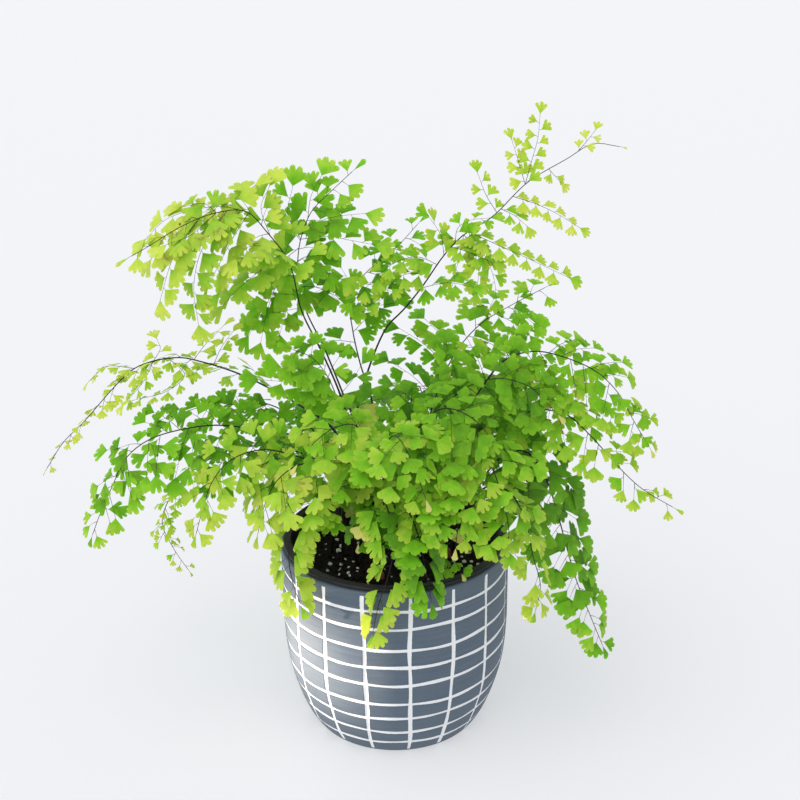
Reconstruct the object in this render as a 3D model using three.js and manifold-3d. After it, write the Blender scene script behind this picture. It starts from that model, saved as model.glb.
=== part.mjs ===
// A maidenhair fern in a black plastic nursery pot, which hangs by its lip in a glazed
// outer pot. Millimetres, +Z up, with the origin at the centre of the outer pot's flat
// foot. The front of the plant faces -Y and +X is to its right.
import * as THREE from "three";
import { mergeVertices } from "three/addons/utils/BufferGeometryUtils.js";
import Module from "manifold-3d";

const wasm = await Module();
wasm.setup();
const { Manifold } = wasm;

// ---- driving dimensions ---------------------------------------------------------------

const CLEARANCE = 0.3; // left between pieces that rest on or beside each other
const ROUND_SIDES = 30; // flats round the pots and the soil

const POT_HEIGHT = 106;
const POT_RIM_RADIUS = 62.5;
const POT_FOOT_RADIUS = 47.5;
const POT_WALL = 4;
const POT_FLOOR = 7;
const POT_RIM_ROUNDING = 0.8;

const NURSERY_LIP_RADIUS = 61.2;
const NURSERY_LIP_THICKNESS = 2;
const NURSERY_RADIUS_TOP = 57.6;
const NURSERY_RADIUS_BASE = 43;
const NURSERY_BASE_Z = 16;
const NURSERY_WALL = 1.1;
const DRAIN_HOLES = 5;
const DRAIN_HOLE_RADIUS = 5;
const DRAIN_CIRCLE = 27;

const SOIL_LEVEL = 99;
const SOIL_HEAP = 1.6; // how much higher the soil stands round the stems
const SOIL_WAVE = 0.8;
const SOIL_WAVELENGTH = 6.5;
const SOIL_TOP = SOIL_LEVEL + SOIL_HEAP + SOIL_WAVE;
const SOIL_RINGS = [48, 32, 16];
const PERLITE_GRAINS = 22;
const PERLITE_RADIUS = 1.5;
const PERLITE_UNEVENNESS = 0.8;
const PERLITE_REACH = 50; // how far from the middle the grains lie
const PERLITE_CLEAR = 6; // how far they stay from stems and chips
const PERLITE_FLATNESS = 0.8;
const CHIP_FLATNESS = 0.7;
const CRUMB_NARROWNESS = 0.8;
const CRUMB_RISE = 0.2; // how far a crumb's middle stands out of the soil, in its heights
const GOLDEN_ANGLE = 2.39996;
const CLAY_CHIPS = [
  { at: [-8, -33], radius: 3.2, turn: 0.4 },
  { at: [27, -11], radius: 4.2, turn: 1.3 },
];

const STEM_RADIUS = 0.8;
const STEM_FOOT_Z = 86; // how far down the soil's holes the stems reach
const STEM_SIDES = 3;
const STEM_STEP = 24;
const BLADE_THICKNESS = 0.7;
const RIB_HALF_WIDTH = 0.55;
const ROOT_DEPTH = 0.5; // how far a branch is sunk into the stem's middle
const SHORTEST_EDGE = 0.02; // shorter edges, which fusing leaves, are taken out

// Past the share TIP_START of its leafy part a frond is one blade with fans on both sides.
// A frond with twigs is so only at its very tip, and a slim one, whose branches are hardly
// longer than its leaflets, is so all along.
const TIP_START = 0.5;
const TWIGGY_TIP_START = 0.9;
const SLIM_REACH = 1.3;

const ROW_THINNING = 1.5; // branches stand this much further apart than on the living plant
const FIRST_BRANCH = 0.3; // where the first one stands, in distances between two
const BRANCH_LEAN = 58; // degrees between a branch and its stem
const BRANCH_LEAN_SPREAD = 16;
const BRANCH_START = 0.75; // the lowest branch's length, in lengths of the longest
const BRANCH_SWELL = 1.6; // how fast the branches above it grow longer
const BRANCH_TAPER = 0.7; // how fast they shorten towards the tip: 1 is in a straight line
const BRANCH_UNEVENNESS = 0.35;
const BRANCH_LIFT = 0.3; // how far a branch may stray out of the frond's face
const BRANCH_SAG = 0.25; // how far its tip sags, in its own lengths

const FAN_SCALE = 1.4; // fewer fans than the living plant, each this much larger
const FAN_PITCH = 0.95; // distance between fans along a branch, in fan radii
const FAN_TIP_ROOM = 0.55; // from the last side fan to the tip, in fan radii
const FAN_ROOT_ROOM = 0.3; // from the branch's root to the first side fan, in fan radii
const FAN_NECK = 1.3; // half the width of a fan's root, in half widths of the rib
const SIDE_FAN_ANGLE = 70;

// Ways in which a branch may be bent to pass clear of its neighbours.
const ROLLS = [0, 18, -18, 36, -36, 56, -56]; // degrees that it turns about itself
const SHRINKS = [1, 0.8, 0.65]; // its fans' size
const FAN_LIMITS = [9, 1]; // the most side fans that it has

// A fan's edge: degrees from its middle line and reach in fan radii. The low middle
// point is the cut between its two lobes.
const SIDE_FAN = [[-40, 0.95], [-8, 0.76], [10, 1], [40, 0.9]];
const END_FAN = [[-46, 0.92], [-16, 1], [2, 0.76], [18, 1], [46, 0.9]];

// ---- the fronds -----------------------------------------------------------------------
// stem: where it leaves the soil [x, y], then the points it arches through to its tip.
// twigs: side branches that stand out, each [place along the stem from 0 to 1, points].
// bare: share of the stem with no branches. gap: distance between the other branches.
// reach: length of the longest of those. leaf: a leaflet's length. face: which way the
// frond's upper side looks. tone: 0 for deep green to 1 for lime.

const FRONDS = [
  { name: "top_left", face: [-0.2, -0.5, 0.85], bare: 0.6, gap: 20, reach: 14, leaf: 12, tone: 0.75,
    stem: [[-26, 24], [-24, 24, 159], [-29, 22, 182], [-38, 18, 208], [-47, 14, 231], [-52, 8, 259],
      [-62, 6, 275], [-72, 2, 287], [-87, -2, 287], [-104, -6, 281], [-119, -12, 273], [-127, -14, 269]],
    twigs: [[0.67, [-65, 4, 257], [-77, 0, 248], [-84, -2, 241]],
      [0.77, [-78, 0, 275], [-85, -4, 263], [-92, -8, 250]],
      [0.81, [-90, -6, 276], [-95, -10, 266], [-98, -12, 251], [-97, -12, 234]],
      [0.86, [-101, -9, 277], [-108, -13, 265], [-114, -15, 248]],
      [0.78, [-84, 4, 289], [-100, 4, 287], [-112, 2, 283], [-121, 0, 275]],
      [0.71, [-65, 10, 287], [-61, 12, 296]], [0.78, [-77, 6, 292], [-69, 10, 297]],
      [0.83, [-92, 2, 291], [-103, 4, 289]], [0.67, [-60, 0, 269], [-70, -6, 271], [-75, -10, 267]],
      [0.93, [-117, -12, 268]], [0.83, [-98, -10, 278], [-108, -14, 275]]] },
  { name: "top_front", face: [0, -0.65, 0.75], bare: 0.62, gap: 17, reach: 14, leaf: 12.8, tone: 0.42,
    stem: [[-20, 17], [-20, 20, 161], [-27, 24, 180], [-37, 30, 205], [-46, 34, 224], [-50, 36, 238],
      [-50, 38, 251], [-48, 40, 263], [-42, 42, 277], [-31, 42, 288], [-20, 42, 298]],
    twigs: [[0.8, [-54, 36, 277], [-51, 34, 291]],
      [0.74, [-62, 32, 238], [-69, 28, 226], [-76, 26, 215]], [0.69, [-55, 30, 230], [-60, 28, 215]],
      [0.69, [-37, 34, 237], [-25, 30, 228]], [0.8, [-34, 36, 265], [-22, 32, 264], [-10, 30, 262]],
      [0.83, [-30, 38, 275], [-15, 36, 277]], [0.85, [-42, 44, 285], [-37, 46, 294]],
      [0.73, [-65, 32, 247], [-80, 26, 247], [-89, 22, 240]], [0.74, [-38, 32, 251], [-28, 28, 245]],
      [0.78, [-57, 30, 253], [-61, 26, 242], [-66, 24, 228], [-70, 24, 212]]] },
  { name: "long_right", face: [0.1, -0.6, 0.8], bare: 0.56, gap: 30, reach: 0, leaf: 10.3, tone: 0.6,
    stem: [[-13, 13], [-22, 16, 157], [-20, 20, 171], [-14, 24, 192], [-3, 28, 217], [6, 30, 226],
      [16, 32, 238], [28, 34, 255], [38, 36, 265], [53, 38, 274], [72, 44, 291], [93, 50, 302],
      [107, 54, 309], [121, 56, 307]],
    twigs: [[0.6, [14, 30, 255], [2, 27, 253], [-10, 24, 244], [-20, 22, 234]],
      [0.62, [26, 32, 266], [20, 30, 276]], [0.67, [49, 32, 255], [54, 28, 243], [55, 26, 234]],
      [0.68, [57, 32, 260], [74, 28, 253], [92, 24, 245]],
      [0.65, [35, 35, 269], [41, 35, 273], [51, 36, 274]], [0.74, [50, 42, 285], [46, 44, 295]],
      [0.78, [77, 40, 280], [88, 38, 275], [98, 36, 269]],
      [0.81, [74, 46, 302], [77, 48, 313], [78, 50, 324]], [0.92, [103, 53, 310], [107, 54, 315]],
      [0.55, [30, 26, 242], [41, 22, 241]], [0.67, [35, 30, 252], [32, 28, 240]],
      [0.68, [46, 32, 254], [45, 26, 238]], [0.64, [40, 28, 258], [52, 26, 253]],
      [0.58, [5, 26, 246], [-6, 22, 234]], [0.75, [65, 36, 275], [70, 34, 271]], [0.86, [89, 46, 291]],
      [0.81, [67, 48, 302], [64, 50, 311]]] },
  { name: "middle_thin", face: [0, -0.6, 0.8], bare: 0.58, gap: 19, reach: 30, leaf: 11, tone: 0.35,
    stem: [[-6, 22], [-11, 34, 149], [-12, 40, 170], [-18, 44, 190], [-22, 46, 210], [-23, 48, 224],
      [-17, 48, 238], [-7, 48, 248], [3, 48, 256], [14, 48, 268]] },
  { name: "left_thin", face: [0, 0, 1], bare: 0.5, gap: 17, reach: 12, leaf: 8.5, tone: 0.65,
    stem: [[-32, 14], [-28, 18, 150], [-34, 18, 164], [-47, 18, 174], [-62, 18, 184], [-82, 18, 195],
      [-102, 16, 203], [-112, 14, 206], [-126, 12, 205], [-137, 10, 201], [-148, 8, 191],
      [-164, 4, 174], [-175, 0, 164], [-184, -4, 151]],
    twigs: [[0.43, [-70, 14, 194], [-75, 10, 202]], [0.57, [-91, 22, 209], [-86, 26, 215]],
      [0.61, [-100, 22, 210], [-91, 28, 218]],
      [0.66, [-109, 6, 199], [-118, -2, 193], [-133, -8, 191]],
      [0.69, [-123, 18, 210], [-125, 22, 213]], [0.69, [-131, 2, 196], [-139, -4, 188]],
      [0.73, [-152, 12, 202], [-160, 12, 195]]] },
  { name: "left_droop", face: [-0.2, -0.6, 0.75], bare: 0.38, gap: 14, reach: 30, leaf: 12, tone: 0.3,
    stem: [[-27, 4], [-26, 4, 151], [-36, 2, 163], [-54, -2, 168], [-72, -6, 173], [-92, -12, 178],
      [-110, -18, 178], [-125, -24, 175], [-136, -28, 167], [-144, -32, 152], [-150, -34, 140],
      [-155, -36, 128]] },
  { name: "left_upper", face: [0, -0.3, 0.95], bare: 0.42, gap: 20, reach: 20, leaf: 9.5, tone: 0.3,
    stem: [[-38, 24], [-31, 26, 139], [-41, 28, 154], [-56, 32, 165], [-73, 34, 172], [-85, 36, 170],
      [-99, 36, 171], [-113, 36, 167], [-127, 34, 163]] },
  { name: "left_light", face: [-0.2, -0.8, 0.6], bare: 0.5, gap: 13, reach: 14, leaf: 12, tone: 0.8,
    stem: [[-34, -6], [-31, -10, 150], [-48, -18, 162], [-67, -26, 170], [-82, -34, 168],
      [-91, -40, 159], [-96, -44, 146], [-100, -46, 133]] },
  { name: "left_faint", face: [0, -0.4, 0.9], bare: 0.5, gap: 15, reach: 12, leaf: 6, tone: 0.6,
    stem: [[-34, 34], [-37, 50, 122], [-61, 60, 132], [-91, 68, 130], [-116, 72, 117], [-135, 74, 96],
      [-142, 74, 78], [-136, 74, 59], [-128, 72, 46]] },
  { name: "left_front", face: [-0.3, -0.4, 0.9], bare: 0.38, gap: 17, reach: 32, leaf: 13, tone: 0.75,
    stem: [[-28, -14], [-29, -20, 146], [-39, -26, 161], [-48, -32, 164], [-58, -38, 159],
      [-65, -42, 147], [-69, -44, 132]] },
  { name: "left_rim", face: [-0.2, -0.4, 0.9], bare: 0.4, gap: 12, reach: 5, leaf: 13, tone: 0.8,
    stem: [[-20, -22], [-28, -28, 133], [-37, -36, 146], [-46, -44, 144], [-52, -50, 134],
      [-53, -54, 122], [-51, -57, 109], [-48, -58, 99]] },
  { name: "centre_left", face: [0, -0.4, 0.9], bare: 0.35, gap: 17, reach: 34, leaf: 14, tone: 0.7,
    stem: [[-16, -6], [-15, -8, 132], [-13, -16, 156], [-14, -24, 174], [-20, -32, 186],
      [-30, -40, 187], [-39, -46, 182], [-46, -50, 174]] },
  { name: "stem_cluster", face: [0, -0.7, 0.7], bare: 0.78, gap: 13, reach: 13, leaf: 12.5, tone: 0.35,
    stem: [[-24, 11], [-24, 10, 156], [-26, 6, 173], [-30, 0, 190], [-34, -6, 203], [-41, -10, 214],
      [-50, -12, 219]],
    twigs: [[0.69, [-42, -4, 195], [-55, -8, 200], [-67, -10, 202]],
      [0.71, [-22, 10, 193], [-17, 14, 200]], [0.83, [-45, -14, 208], [-55, -18, 212]]] },
  { name: "right_upper", face: [0.2, -0.6, 0.8], bare: 0.38, gap: 16, reach: 36, leaf: 12, tone: 0.45,
    stem: [[20, 14], [21, 14, 133], [34, 12, 164], [46, 10, 187], [59, 8, 205], [74, 4, 211],
      [89, 0, 209], [105, -6, 203], [116, -12, 193], [123, -18, 181], [131, -22, 168]] },
  { name: "right_back", face: [0.1, -0.5, 0.85], bare: 0.47, gap: 18, reach: 42, leaf: 11.5, tone: 0.35,
    stem: [[8, 26], [10, 32, 125], [18, 38, 153], [25, 42, 175], [35, 44, 197], [49, 48, 212],
      [66, 50, 222], [84, 52, 231]] },
  { name: "right_mid", face: [0.2, -0.6, 0.75], bare: 0.4, gap: 13, reach: 19, leaf: 11, tone: 0.5,
    stem: [[26, 6], [33, 2, 133], [52, -4, 165], [71, -10, 183], [88, -16, 184], [102, -22, 173],
      [113, -26, 161], [127, -30, 148], [143, -34, 139]] },
  { name: "right_low", face: [0.3, -0.7, 0.6], bare: 0.36, gap: 11, reach: 16.5, leaf: 12.5, tone: 0.12,
    stem: [[32, -4], [41, -8, 131], [56, -14, 159], [68, -20, 165], [78, -26, 153], [84, -30, 136],
      [89, -34, 118], [95, -36, 98], [102, -38, 80], [110, -38, 60]] },
  { name: "right_front", face: [0.2, -0.4, 0.9], bare: 0.4, gap: 13, reach: 9, leaf: 11, tone: 0.7,
    stem: [[34, -18], [35, -24, 128], [48, -38, 154], [58, -48, 155], [65, -56, 144], [69, -60, 126],
      [73, -62, 110], [71, -63, 97]] },
  { name: "front_right", face: [0.1, -0.4, 0.9], bare: 0.35, gap: 17, reach: 38, leaf: 14, tone: 0.6,
    stem: [[15, -10], [16, -16, 124], [26, -30, 157], [37, -44, 176], [47, -56, 174], [53, -64, 159],
      [56, -68, 144], [55, -70, 132]] },
  { name: "front_mid", face: [0, -0.4, 0.9], bare: 0.38, gap: 17, reach: 36, leaf: 14, tone: 0.6,
    stem: [[8, -18], [7, -26, 123], [16, -42, 156], [24, -54, 169], [29, -64, 164], [31, -70, 151],
      [30, -74, 140]] },
  { name: "front_centre", face: [-0.1, -0.4, 0.9], bare: 0.36, gap: 12, reach: 7, leaf: 14, tone: 0.55,
    stem: [[-6, -24], [-4, -34, 128], [-5, -46, 151], [-2, -56, 147], [0, -62, 134], [-3, -66, 119],
      [-8, -69, 104], [-11, -71, 90]] },
  { name: "front_drop", face: [0.1, -0.4, 0.9], bare: 0.4, gap: 12, reach: 6, leaf: 13, tone: 0.3,
    stem: [[2, -28], [3, -40, 128], [7, -52, 147], [12, -62, 139], [15, -67, 125], [18, -70, 108]] },
  { name: "upper_mass", face: [0.1, -0.7, 0.7], bare: 0.36, gap: 17, reach: 44, leaf: 13, tone: 0.3,
    stem: [[4, 8], [4, 4, 126], [14, 0, 156], [25, -4, 181], [38, -8, 196], [55, -14, 203],
      [70, -20, 200], [82, -26, 189]] },
  { name: "mid_mass", face: [0, -0.4, 0.9], bare: 0.36, gap: 17, reach: 42, leaf: 13, tone: 0.4,
    stem: [[0, 0], [1, -6, 125], [6, -14, 157], [14, -24, 182], [26, -34, 195], [39, -42, 193],
      [49, -48, 182], [53, -52, 167]] },
  { name: "low_mass", face: [0, -0.4, 0.9], bare: 0.38, gap: 17, reach: 36, leaf: 14, tone: 0.6,
    stem: [[-6, -10], [-4, -18, 130], [-5, -32, 163], [-1, -46, 185], [4, -60, 189], [10, -70, 180],
      [15, -76, 167]] },
  { name: "inner_low", face: [-0.1, -0.4, 0.9], bare: 0.4, gap: 14, reach: 15, leaf: 12.6, tone: 0.25,
    stem: [[-12, -16], [-9, -20, 123], [-9, -24, 141], [-13, -32, 145], [-16, -38, 138],
      [-18, -42, 126]] },
  { name: "short_low", face: [0.2, -0.8, 0.5], bare: 0.6, gap: 14, reach: 8, leaf: 10, tone: 0.3,
    stem: [[22, -32], [24, -38, 118], [28, -47, 122], [33, -57, 116]] },
  { name: "back_left", face: [-0.3, 0.6, 0.75], bare: 0.36, gap: 19, reach: 34, leaf: 12.5, tone: 0.4,
    stem: [[-16, 34], [-20, 44, 126], [-27, 62, 146], [-38, 88, 152], [-50, 112, 136], [-58, 128, 108],
      [-62, 134, 84]] },
  { name: "back_mid", face: [0, 0.7, 0.7], bare: 0.36, gap: 19, reach: 36, leaf: 12.5, tone: 0.4,
    stem: [[-2, 36], [2, 46, 130], [8, 64, 152], [14, 92, 158], [18, 118, 140], [20, 134, 110],
      [20, 140, 84]] },
  { name: "back_right", face: [0.3, 0.6, 0.75], bare: 0.36, gap: 19, reach: 36, leaf: 12.5, tone: 0.4,
    stem: [[16, 32], [24, 44, 134], [36, 62, 160], [52, 86, 164], [68, 108, 146], [80, 124, 116],
      [86, 132, 90]] },
  { name: "back_low_left", face: [-0.3, 0.7, 0.6], bare: 0.42, gap: 18, reach: 24, leaf: 12, tone: 0.3,
    stem: [[-24, 40], [-34, 56, 128], [-48, 74, 138], [-60, 88, 122], [-66, 96, 96], [-70, 98, 74]] },
  { name: "back_low_right", face: [0.3, 0.7, 0.6], bare: 0.42, gap: 18, reach: 24, leaf: 12.3, tone: 0.3,
    stem: [[24, 38], [34, 54, 128], [46, 74, 138], [56, 90, 122], [62, 98, 96], [64, 100, 72]] },
];

// ---- solids ---------------------------------------------------------------------------

/** The closed solid of a geometry whose faces share their corners. */
function solidOf(geometry) {
  const bare = geometry.clone();
  bare.deleteAttribute("normal");
  bare.deleteAttribute("uv");
  const merged = mergeVertices(bare, 1e-4);
  const at = merged.attributes.position;
  const corner = [0, 1, 2].map(() => new THREE.Vector3());
  const triangles = [];
  let volume = 0;
  for (let i = 0; i < merged.index.count; i += 3) {
    const abc = [0, 1, 2].map((k) => merged.index.getX(i + k));
    if (new Set(abc).size < 3) continue;
    abc.forEach((v, k) => corner[k].fromBufferAttribute(at, v));
    volume += corner[0].dot(corner[1].cross(corner[2]));
    triangles.push(abc);
  }
  const outward = volume > 0 ? triangles : triangles.map(([a, b, c]) => [a, c, b]);
  const mesh = new wasm.Mesh({
    numProp: 3,
    vertProperties: new Float32Array(at.array),
    triVerts: new Uint32Array(outward.flat()),
  });
  return new Manifold(mesh);
}

/** The three.js geometry of a solid. */
function geometryOf(solid) {
  const { vertProperties, triVerts } = solid.getMesh();
  const geometry = new THREE.BufferGeometry();
  geometry.setAttribute("position", new THREE.BufferAttribute(vertProperties, 3));
  geometry.setIndex(new THREE.BufferAttribute(triVerts, 1));
  geometry.computeVertexNormals();
  return geometry;
}

/** A turned shape from a closed outline of [radius, height] points. */
function turned(outline) {
  const points = outline.map(([radius, height]) => new THREE.Vector2(radius, height));
  return new THREE.LatheGeometry(points, ROUND_SIDES).rotateX(Math.PI / 2);
}

/** A rod of flats straight up from a height. */
function post(x, y, bottom, top, radius, sides) {
  return new THREE.CylinderGeometry(radius, radius, top - bottom, sides)
    .rotateX(Math.PI / 2)
    .translate(x, y, (top + bottom) / 2);
}

const radians = THREE.MathUtils.degToRad;

/** An even, repeatable scatter between -0.5 and 0.5. */
function spread(k) {
  return (((k * 0.618034) % 1) + 1) % 1 - 0.5;
}

// ---- the pots -------------------------------------------------------------------------

function outerPot() {
  const inner = POT_RIM_RADIUS - POT_WALL;
  return turned([
    [0, 0],
    [POT_FOOT_RADIUS, 0],
    [52, 8.5],
    [56.5, 21],
    [60.3, 37],
    [62, 58],
    [POT_RIM_RADIUS, 83],
    [POT_RIM_RADIUS, POT_HEIGHT - POT_RIM_ROUNDING],
    [POT_RIM_RADIUS - POT_RIM_ROUNDING, POT_HEIGHT],
    [inner, POT_HEIGHT],
    [inner, 58],
    [54, 28],
    [46, POT_FLOOR],
    [0, POT_FLOOR],
  ]);
}

/** The nursery pot's outer radius at a height. */
function nurseryRadius(z) {
  const rise = (z - NURSERY_BASE_Z) / (POT_HEIGHT - NURSERY_BASE_Z);
  return NURSERY_RADIUS_BASE + (NURSERY_RADIUS_TOP - NURSERY_RADIUS_BASE) * rise;
}

function nurseryPot() {
  const lipUnder = POT_HEIGHT + CLEARANCE;
  const lipTop = lipUnder + NURSERY_LIP_THICKNESS;
  const floorTop = NURSERY_BASE_Z + NURSERY_WALL;
  const outside = nurseryRadius(POT_HEIGHT);
  const shell = solidOf(turned([
    [0, NURSERY_BASE_Z],
    [NURSERY_RADIUS_BASE, NURSERY_BASE_Z],
    [outside, lipUnder],
    [NURSERY_LIP_RADIUS, lipUnder],
    [NURSERY_LIP_RADIUS, lipTop - 0.5],
    [NURSERY_LIP_RADIUS - 0.5, lipTop],
    [outside - NURSERY_WALL, lipTop],
    [NURSERY_RADIUS_BASE - NURSERY_WALL, floorTop],
    [0, floorTop],
  ]));
  const holes = Array.from({ length: DRAIN_HOLES }, (_, i) => {
    const turn = (i / DRAIN_HOLES) * 2 * Math.PI;
    const [x, y] = [Math.cos(turn) * DRAIN_CIRCLE, Math.sin(turn) * DRAIN_CIRCLE];
    return solidOf(post(x, y, NURSERY_BASE_Z - 1, floorTop + 1, DRAIN_HOLE_RADIUS, 8));
  });
  return shell.subtract(Manifold.union(holes));
}

// ---- the soil and what lies in it -----------------------------------------------------

/** The soil's height at a place on its surface. */
function soilHeight(x, y) {
  const heap = SOIL_HEAP * (1 - Math.hypot(x, y) / SOIL_RINGS[0]);
  return SOIL_LEVEL + heap + SOIL_WAVE * Math.sin(x / SOIL_WAVELENGTH) * Math.cos(y / SOIL_WAVELENGTH);
}

/** A crumb with flat sides, half sunk in the soil. */
function crumb(x, y, radius, turn, flat) {
  return new THREE.OctahedronGeometry(radius, 0)
    .scale(1, CRUMB_NARROWNESS, flat)
    .rotateZ(turn)
    .translate(x, y, soilHeight(x, y) + radius * flat * CRUMB_RISE);
}

function clayChip({ at: [x, y], radius, turn }) {
  return solidOf(crumb(x, y, radius, turn, CHIP_FLATNESS));
}

function soil() {
  const bottom = NURSERY_BASE_Z + NURSERY_WALL + CLEARANCE;
  const slack = NURSERY_WALL + 2 * CLEARANCE;
  const geometry = turned([
    [0, bottom],
    [nurseryRadius(bottom) - slack, bottom],
    [nurseryRadius(SOIL_LEVEL) - slack, SOIL_LEVEL - 1],
    ...SOIL_RINGS.map((radius) => [radius, SOIL_LEVEL]),
    [0, SOIL_LEVEL],
  ]);
  const at = geometry.attributes.position;
  for (let i = 0; i < at.count; i++) {
    if (at.getZ(i) === SOIL_LEVEL) at.setZ(i, soilHeight(at.getX(i), at.getY(i)));
  }
  const holes = FRONDS.map(({ stem: [[x, y]] }) =>
    solidOf(post(x, y, STEM_FOOT_Z - CLEARANCE, SOIL_TOP + 1, STEM_RADIUS + 2 * CLEARANCE, 5)));
  const seats = CLAY_CHIPS.map((chip) =>
    clayChip({ ...chip, radius: chip.radius + CLEARANCE }));
  const taken = [...FRONDS.map(({ stem }) => stem[0]), ...CLAY_CHIPS.map((chip) => chip.at)];
  const grains = [];
  for (let i = 0; i < PERLITE_GRAINS; i++) {
    const turn = i * GOLDEN_ANGLE;
    const out = PERLITE_REACH * Math.sqrt((i + 0.5) / PERLITE_GRAINS);
    const [x, y] = [out * Math.cos(turn), out * Math.sin(turn)];
    if (taken.some(([a, b]) => Math.hypot(a - x, b - y) < PERLITE_CLEAR)) continue;
    const radius = PERLITE_RADIUS * (1 + PERLITE_UNEVENNESS * spread(i));
    grains.push(solidOf(crumb(x, y, radius, turn, PERLITE_FLATNESS)));
  }
  return solidOf(geometry).add(Manifold.union(grains)).subtract(Manifold.union([...holes, ...seats]));
}

// ---- the fronds' pieces ---------------------------------------------------------------

const vector = (p) => new THREE.Vector3(...p);
const curveThrough = (points) => new THREE.CatmullRomCurve3(points, false, "centripetal");

/** A frond's stem, from the foot of its hole in the soil to its tip. */
function stemCurve({ stem: [[x, y], ...points] }) {
  return curveThrough([[x, y, STEM_FOOT_Z], [x, y, SOIL_TOP], ...points].map(vector));
}

/** The stretch of a curve from one share of its length to another. */
function stretch(curve, from, to) {
  const shares = Array.from({ length: 13 }, (_, i) => from + ((to - from) * i) / 12);
  return curveThrough(shares.map((share) => curve.getPointAt(share)));
}

/** Where along its stem a frond's own tip blade begins. */
function tipStart({ bare, reach, leaf, twigs }) {
  if (twigs) return bare + (1 - bare) * TWIGGY_TIP_START;
  return reach < SLIM_REACH * leaf ? bare : bare + (1 - bare) * TIP_START;
}

/** A frond's rod: straight up out of the soil, then in even straight stretches. */
class Rod extends THREE.Curve {
  constructor(frond, stem) {
    super();
    this.soilShare = (SOIL_TOP - STEM_FOOT_Z) / stem.getLength();
    this.leafyShare = tipStart(frond) - this.soilShare;
    this.steps = Math.ceil((stem.getLength() * this.leafyShare) / STEM_STEP);
    this.bends = [stem.getPointAt(0)];
    for (let i = 0; i <= this.steps; i++) {
      this.bends.push(stem.getPointAt(this.soilShare + (this.leafyShare * i) / this.steps));
    }
  }

  getPoint(t) {
    const step = t * (this.steps + 1);
    const below = Math.min(Math.floor(step), this.steps);
    return this.bends[below].clone().lerp(this.bends[below + 1], step - below);
  }

  /** Its bends count as evenly spaced, so an extrusion gets one section at each. */
  getUtoTmapping(u) {
    return u;
  }

  /** The middle of the rod beside a share of the whole stem. */
  beside(share) {
    const step = 1 + (this.steps * (share - this.soilShare)) / this.leafyShare;
    return this.getPoint(Math.min(step / (this.steps + 1), 1));
  }

  geometry() {
    const section = new THREE.Shape(
      Array.from({ length: STEM_SIDES }, (_, i) => {
        const turn = (i / STEM_SIDES) * 2 * Math.PI;
        return new THREE.Vector2(Math.cos(turn), Math.sin(turn)).multiplyScalar(STEM_RADIUS);
      }),
    );
    const steps = this.steps + 1;
    return new THREE.ExtrudeGeometry(section, { steps, bevelEnabled: false, extrudePath: this });
  }
}

/** Directions at a share of a curve's length: along it, across the frond and out of its face. */
function frameAt(curve, share, face, roll) {
  const along = curve.getTangentAt(share);
  const out = face.clone().addScaledVector(along, -face.dot(along)).normalize();
  out.applyAxisAngle(along, radians(roll));
  const across = new THREE.Vector3().crossVectors(along, out);
  return { along, out, across };
}

/** The points of one fan's edge, from its root at (x, 0) along a heading in degrees. */
function fanEdge(edge, x, heading, radius) {
  return edge.map(([angle, reach]) => {
    const turn = radians(heading + angle);
    return new THREE.Vector2(x + Math.cos(turn) * reach * radius, Math.sin(turn) * reach * radius);
  });
}

/** The triangles of a strip between two rows of points, both in order of their x. */
function strip(points, low, high) {
  const triangles = [];
  for (let i = 0, j = 0; i + 1 < low.length || j + 1 < high.length; ) {
    const nextLow = points[low[i + 1]]?.x ?? Infinity;
    const nextHigh = points[high[j + 1]]?.x ?? Infinity;
    if (nextLow < nextHigh) {
      triangles.push([low[i], low[i + 1], high[j]]);
      i += 1;
    } else {
      triangles.push([low[i], high[j + 1], high[j]]);
      j += 1;
    }
  }
  return triangles;
}

/** A branch laid flat: a thin rib along +X with fans by turns on both sides. */
function branchPlate(length, radius, firstSide, mostFans) {
  const rib = RIB_HALF_WIDTH;
  const room = length - (FAN_TIP_ROOM + FAN_ROOT_ROOM) * radius;
  const count = Math.min(mostFans, Math.ceil(room / (FAN_PITCH * radius)));
  const fans = Array.from({ length: Math.max(count, 0) }, (_, i) => {
    const x = length - (FAN_TIP_ROOM + FAN_PITCH * i) * radius;
    const near = new THREE.Vector2(x - FAN_NECK * rib, rib);
    const far = new THREE.Vector2(x + FAN_NECK * rib, rib);
    return [far, ...fanEdge(SIDE_FAN, x, SIDE_FAN_ANGLE, radius), near];
  });
  const across = (p) => new THREE.Vector2(p.x, -p.y);
  const highFirst = firstSide > 0 ? 0 : 1;
  const high = fans.filter((_, i) => i % 2 === highFirst);
  const low = fans.filter((_, i) => i % 2 !== highFirst).reverse();
  const root = new THREE.Vector2(-ROOT_DEPTH, rib);
  const end = new THREE.Vector2(length, rib);
  const tip = [across(end), ...fanEdge(END_FAN, length, 0, radius), end];

  const outline = [across(root)];
  const ribPoints = { low: [0], high: [] };
  const triangles = [];
  const addFan = (fan, row) => {
    const first = outline.length;
    outline.push(...fan);
    row.push(first, outline.length - 1);
    const flat = THREE.ShapeUtils.triangulateShape(fan, []);
    triangles.push(...flat.map((corners) => corners.map((k) => k + first)));
  };
  low.forEach((fan) => addFan(fan.map(across).reverse(), ribPoints.low));
  addFan(tip, ribPoints.low);
  ribPoints.high.push(ribPoints.low.pop());
  high.forEach((fan) => addFan(fan, ribPoints.high));
  outline.push(root);
  ribPoints.high.push(outline.length - 1);
  triangles.push(...strip(outline, ribPoints.low, ribPoints.high.reverse()));
  return plate(outline, triangles);
}

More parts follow.
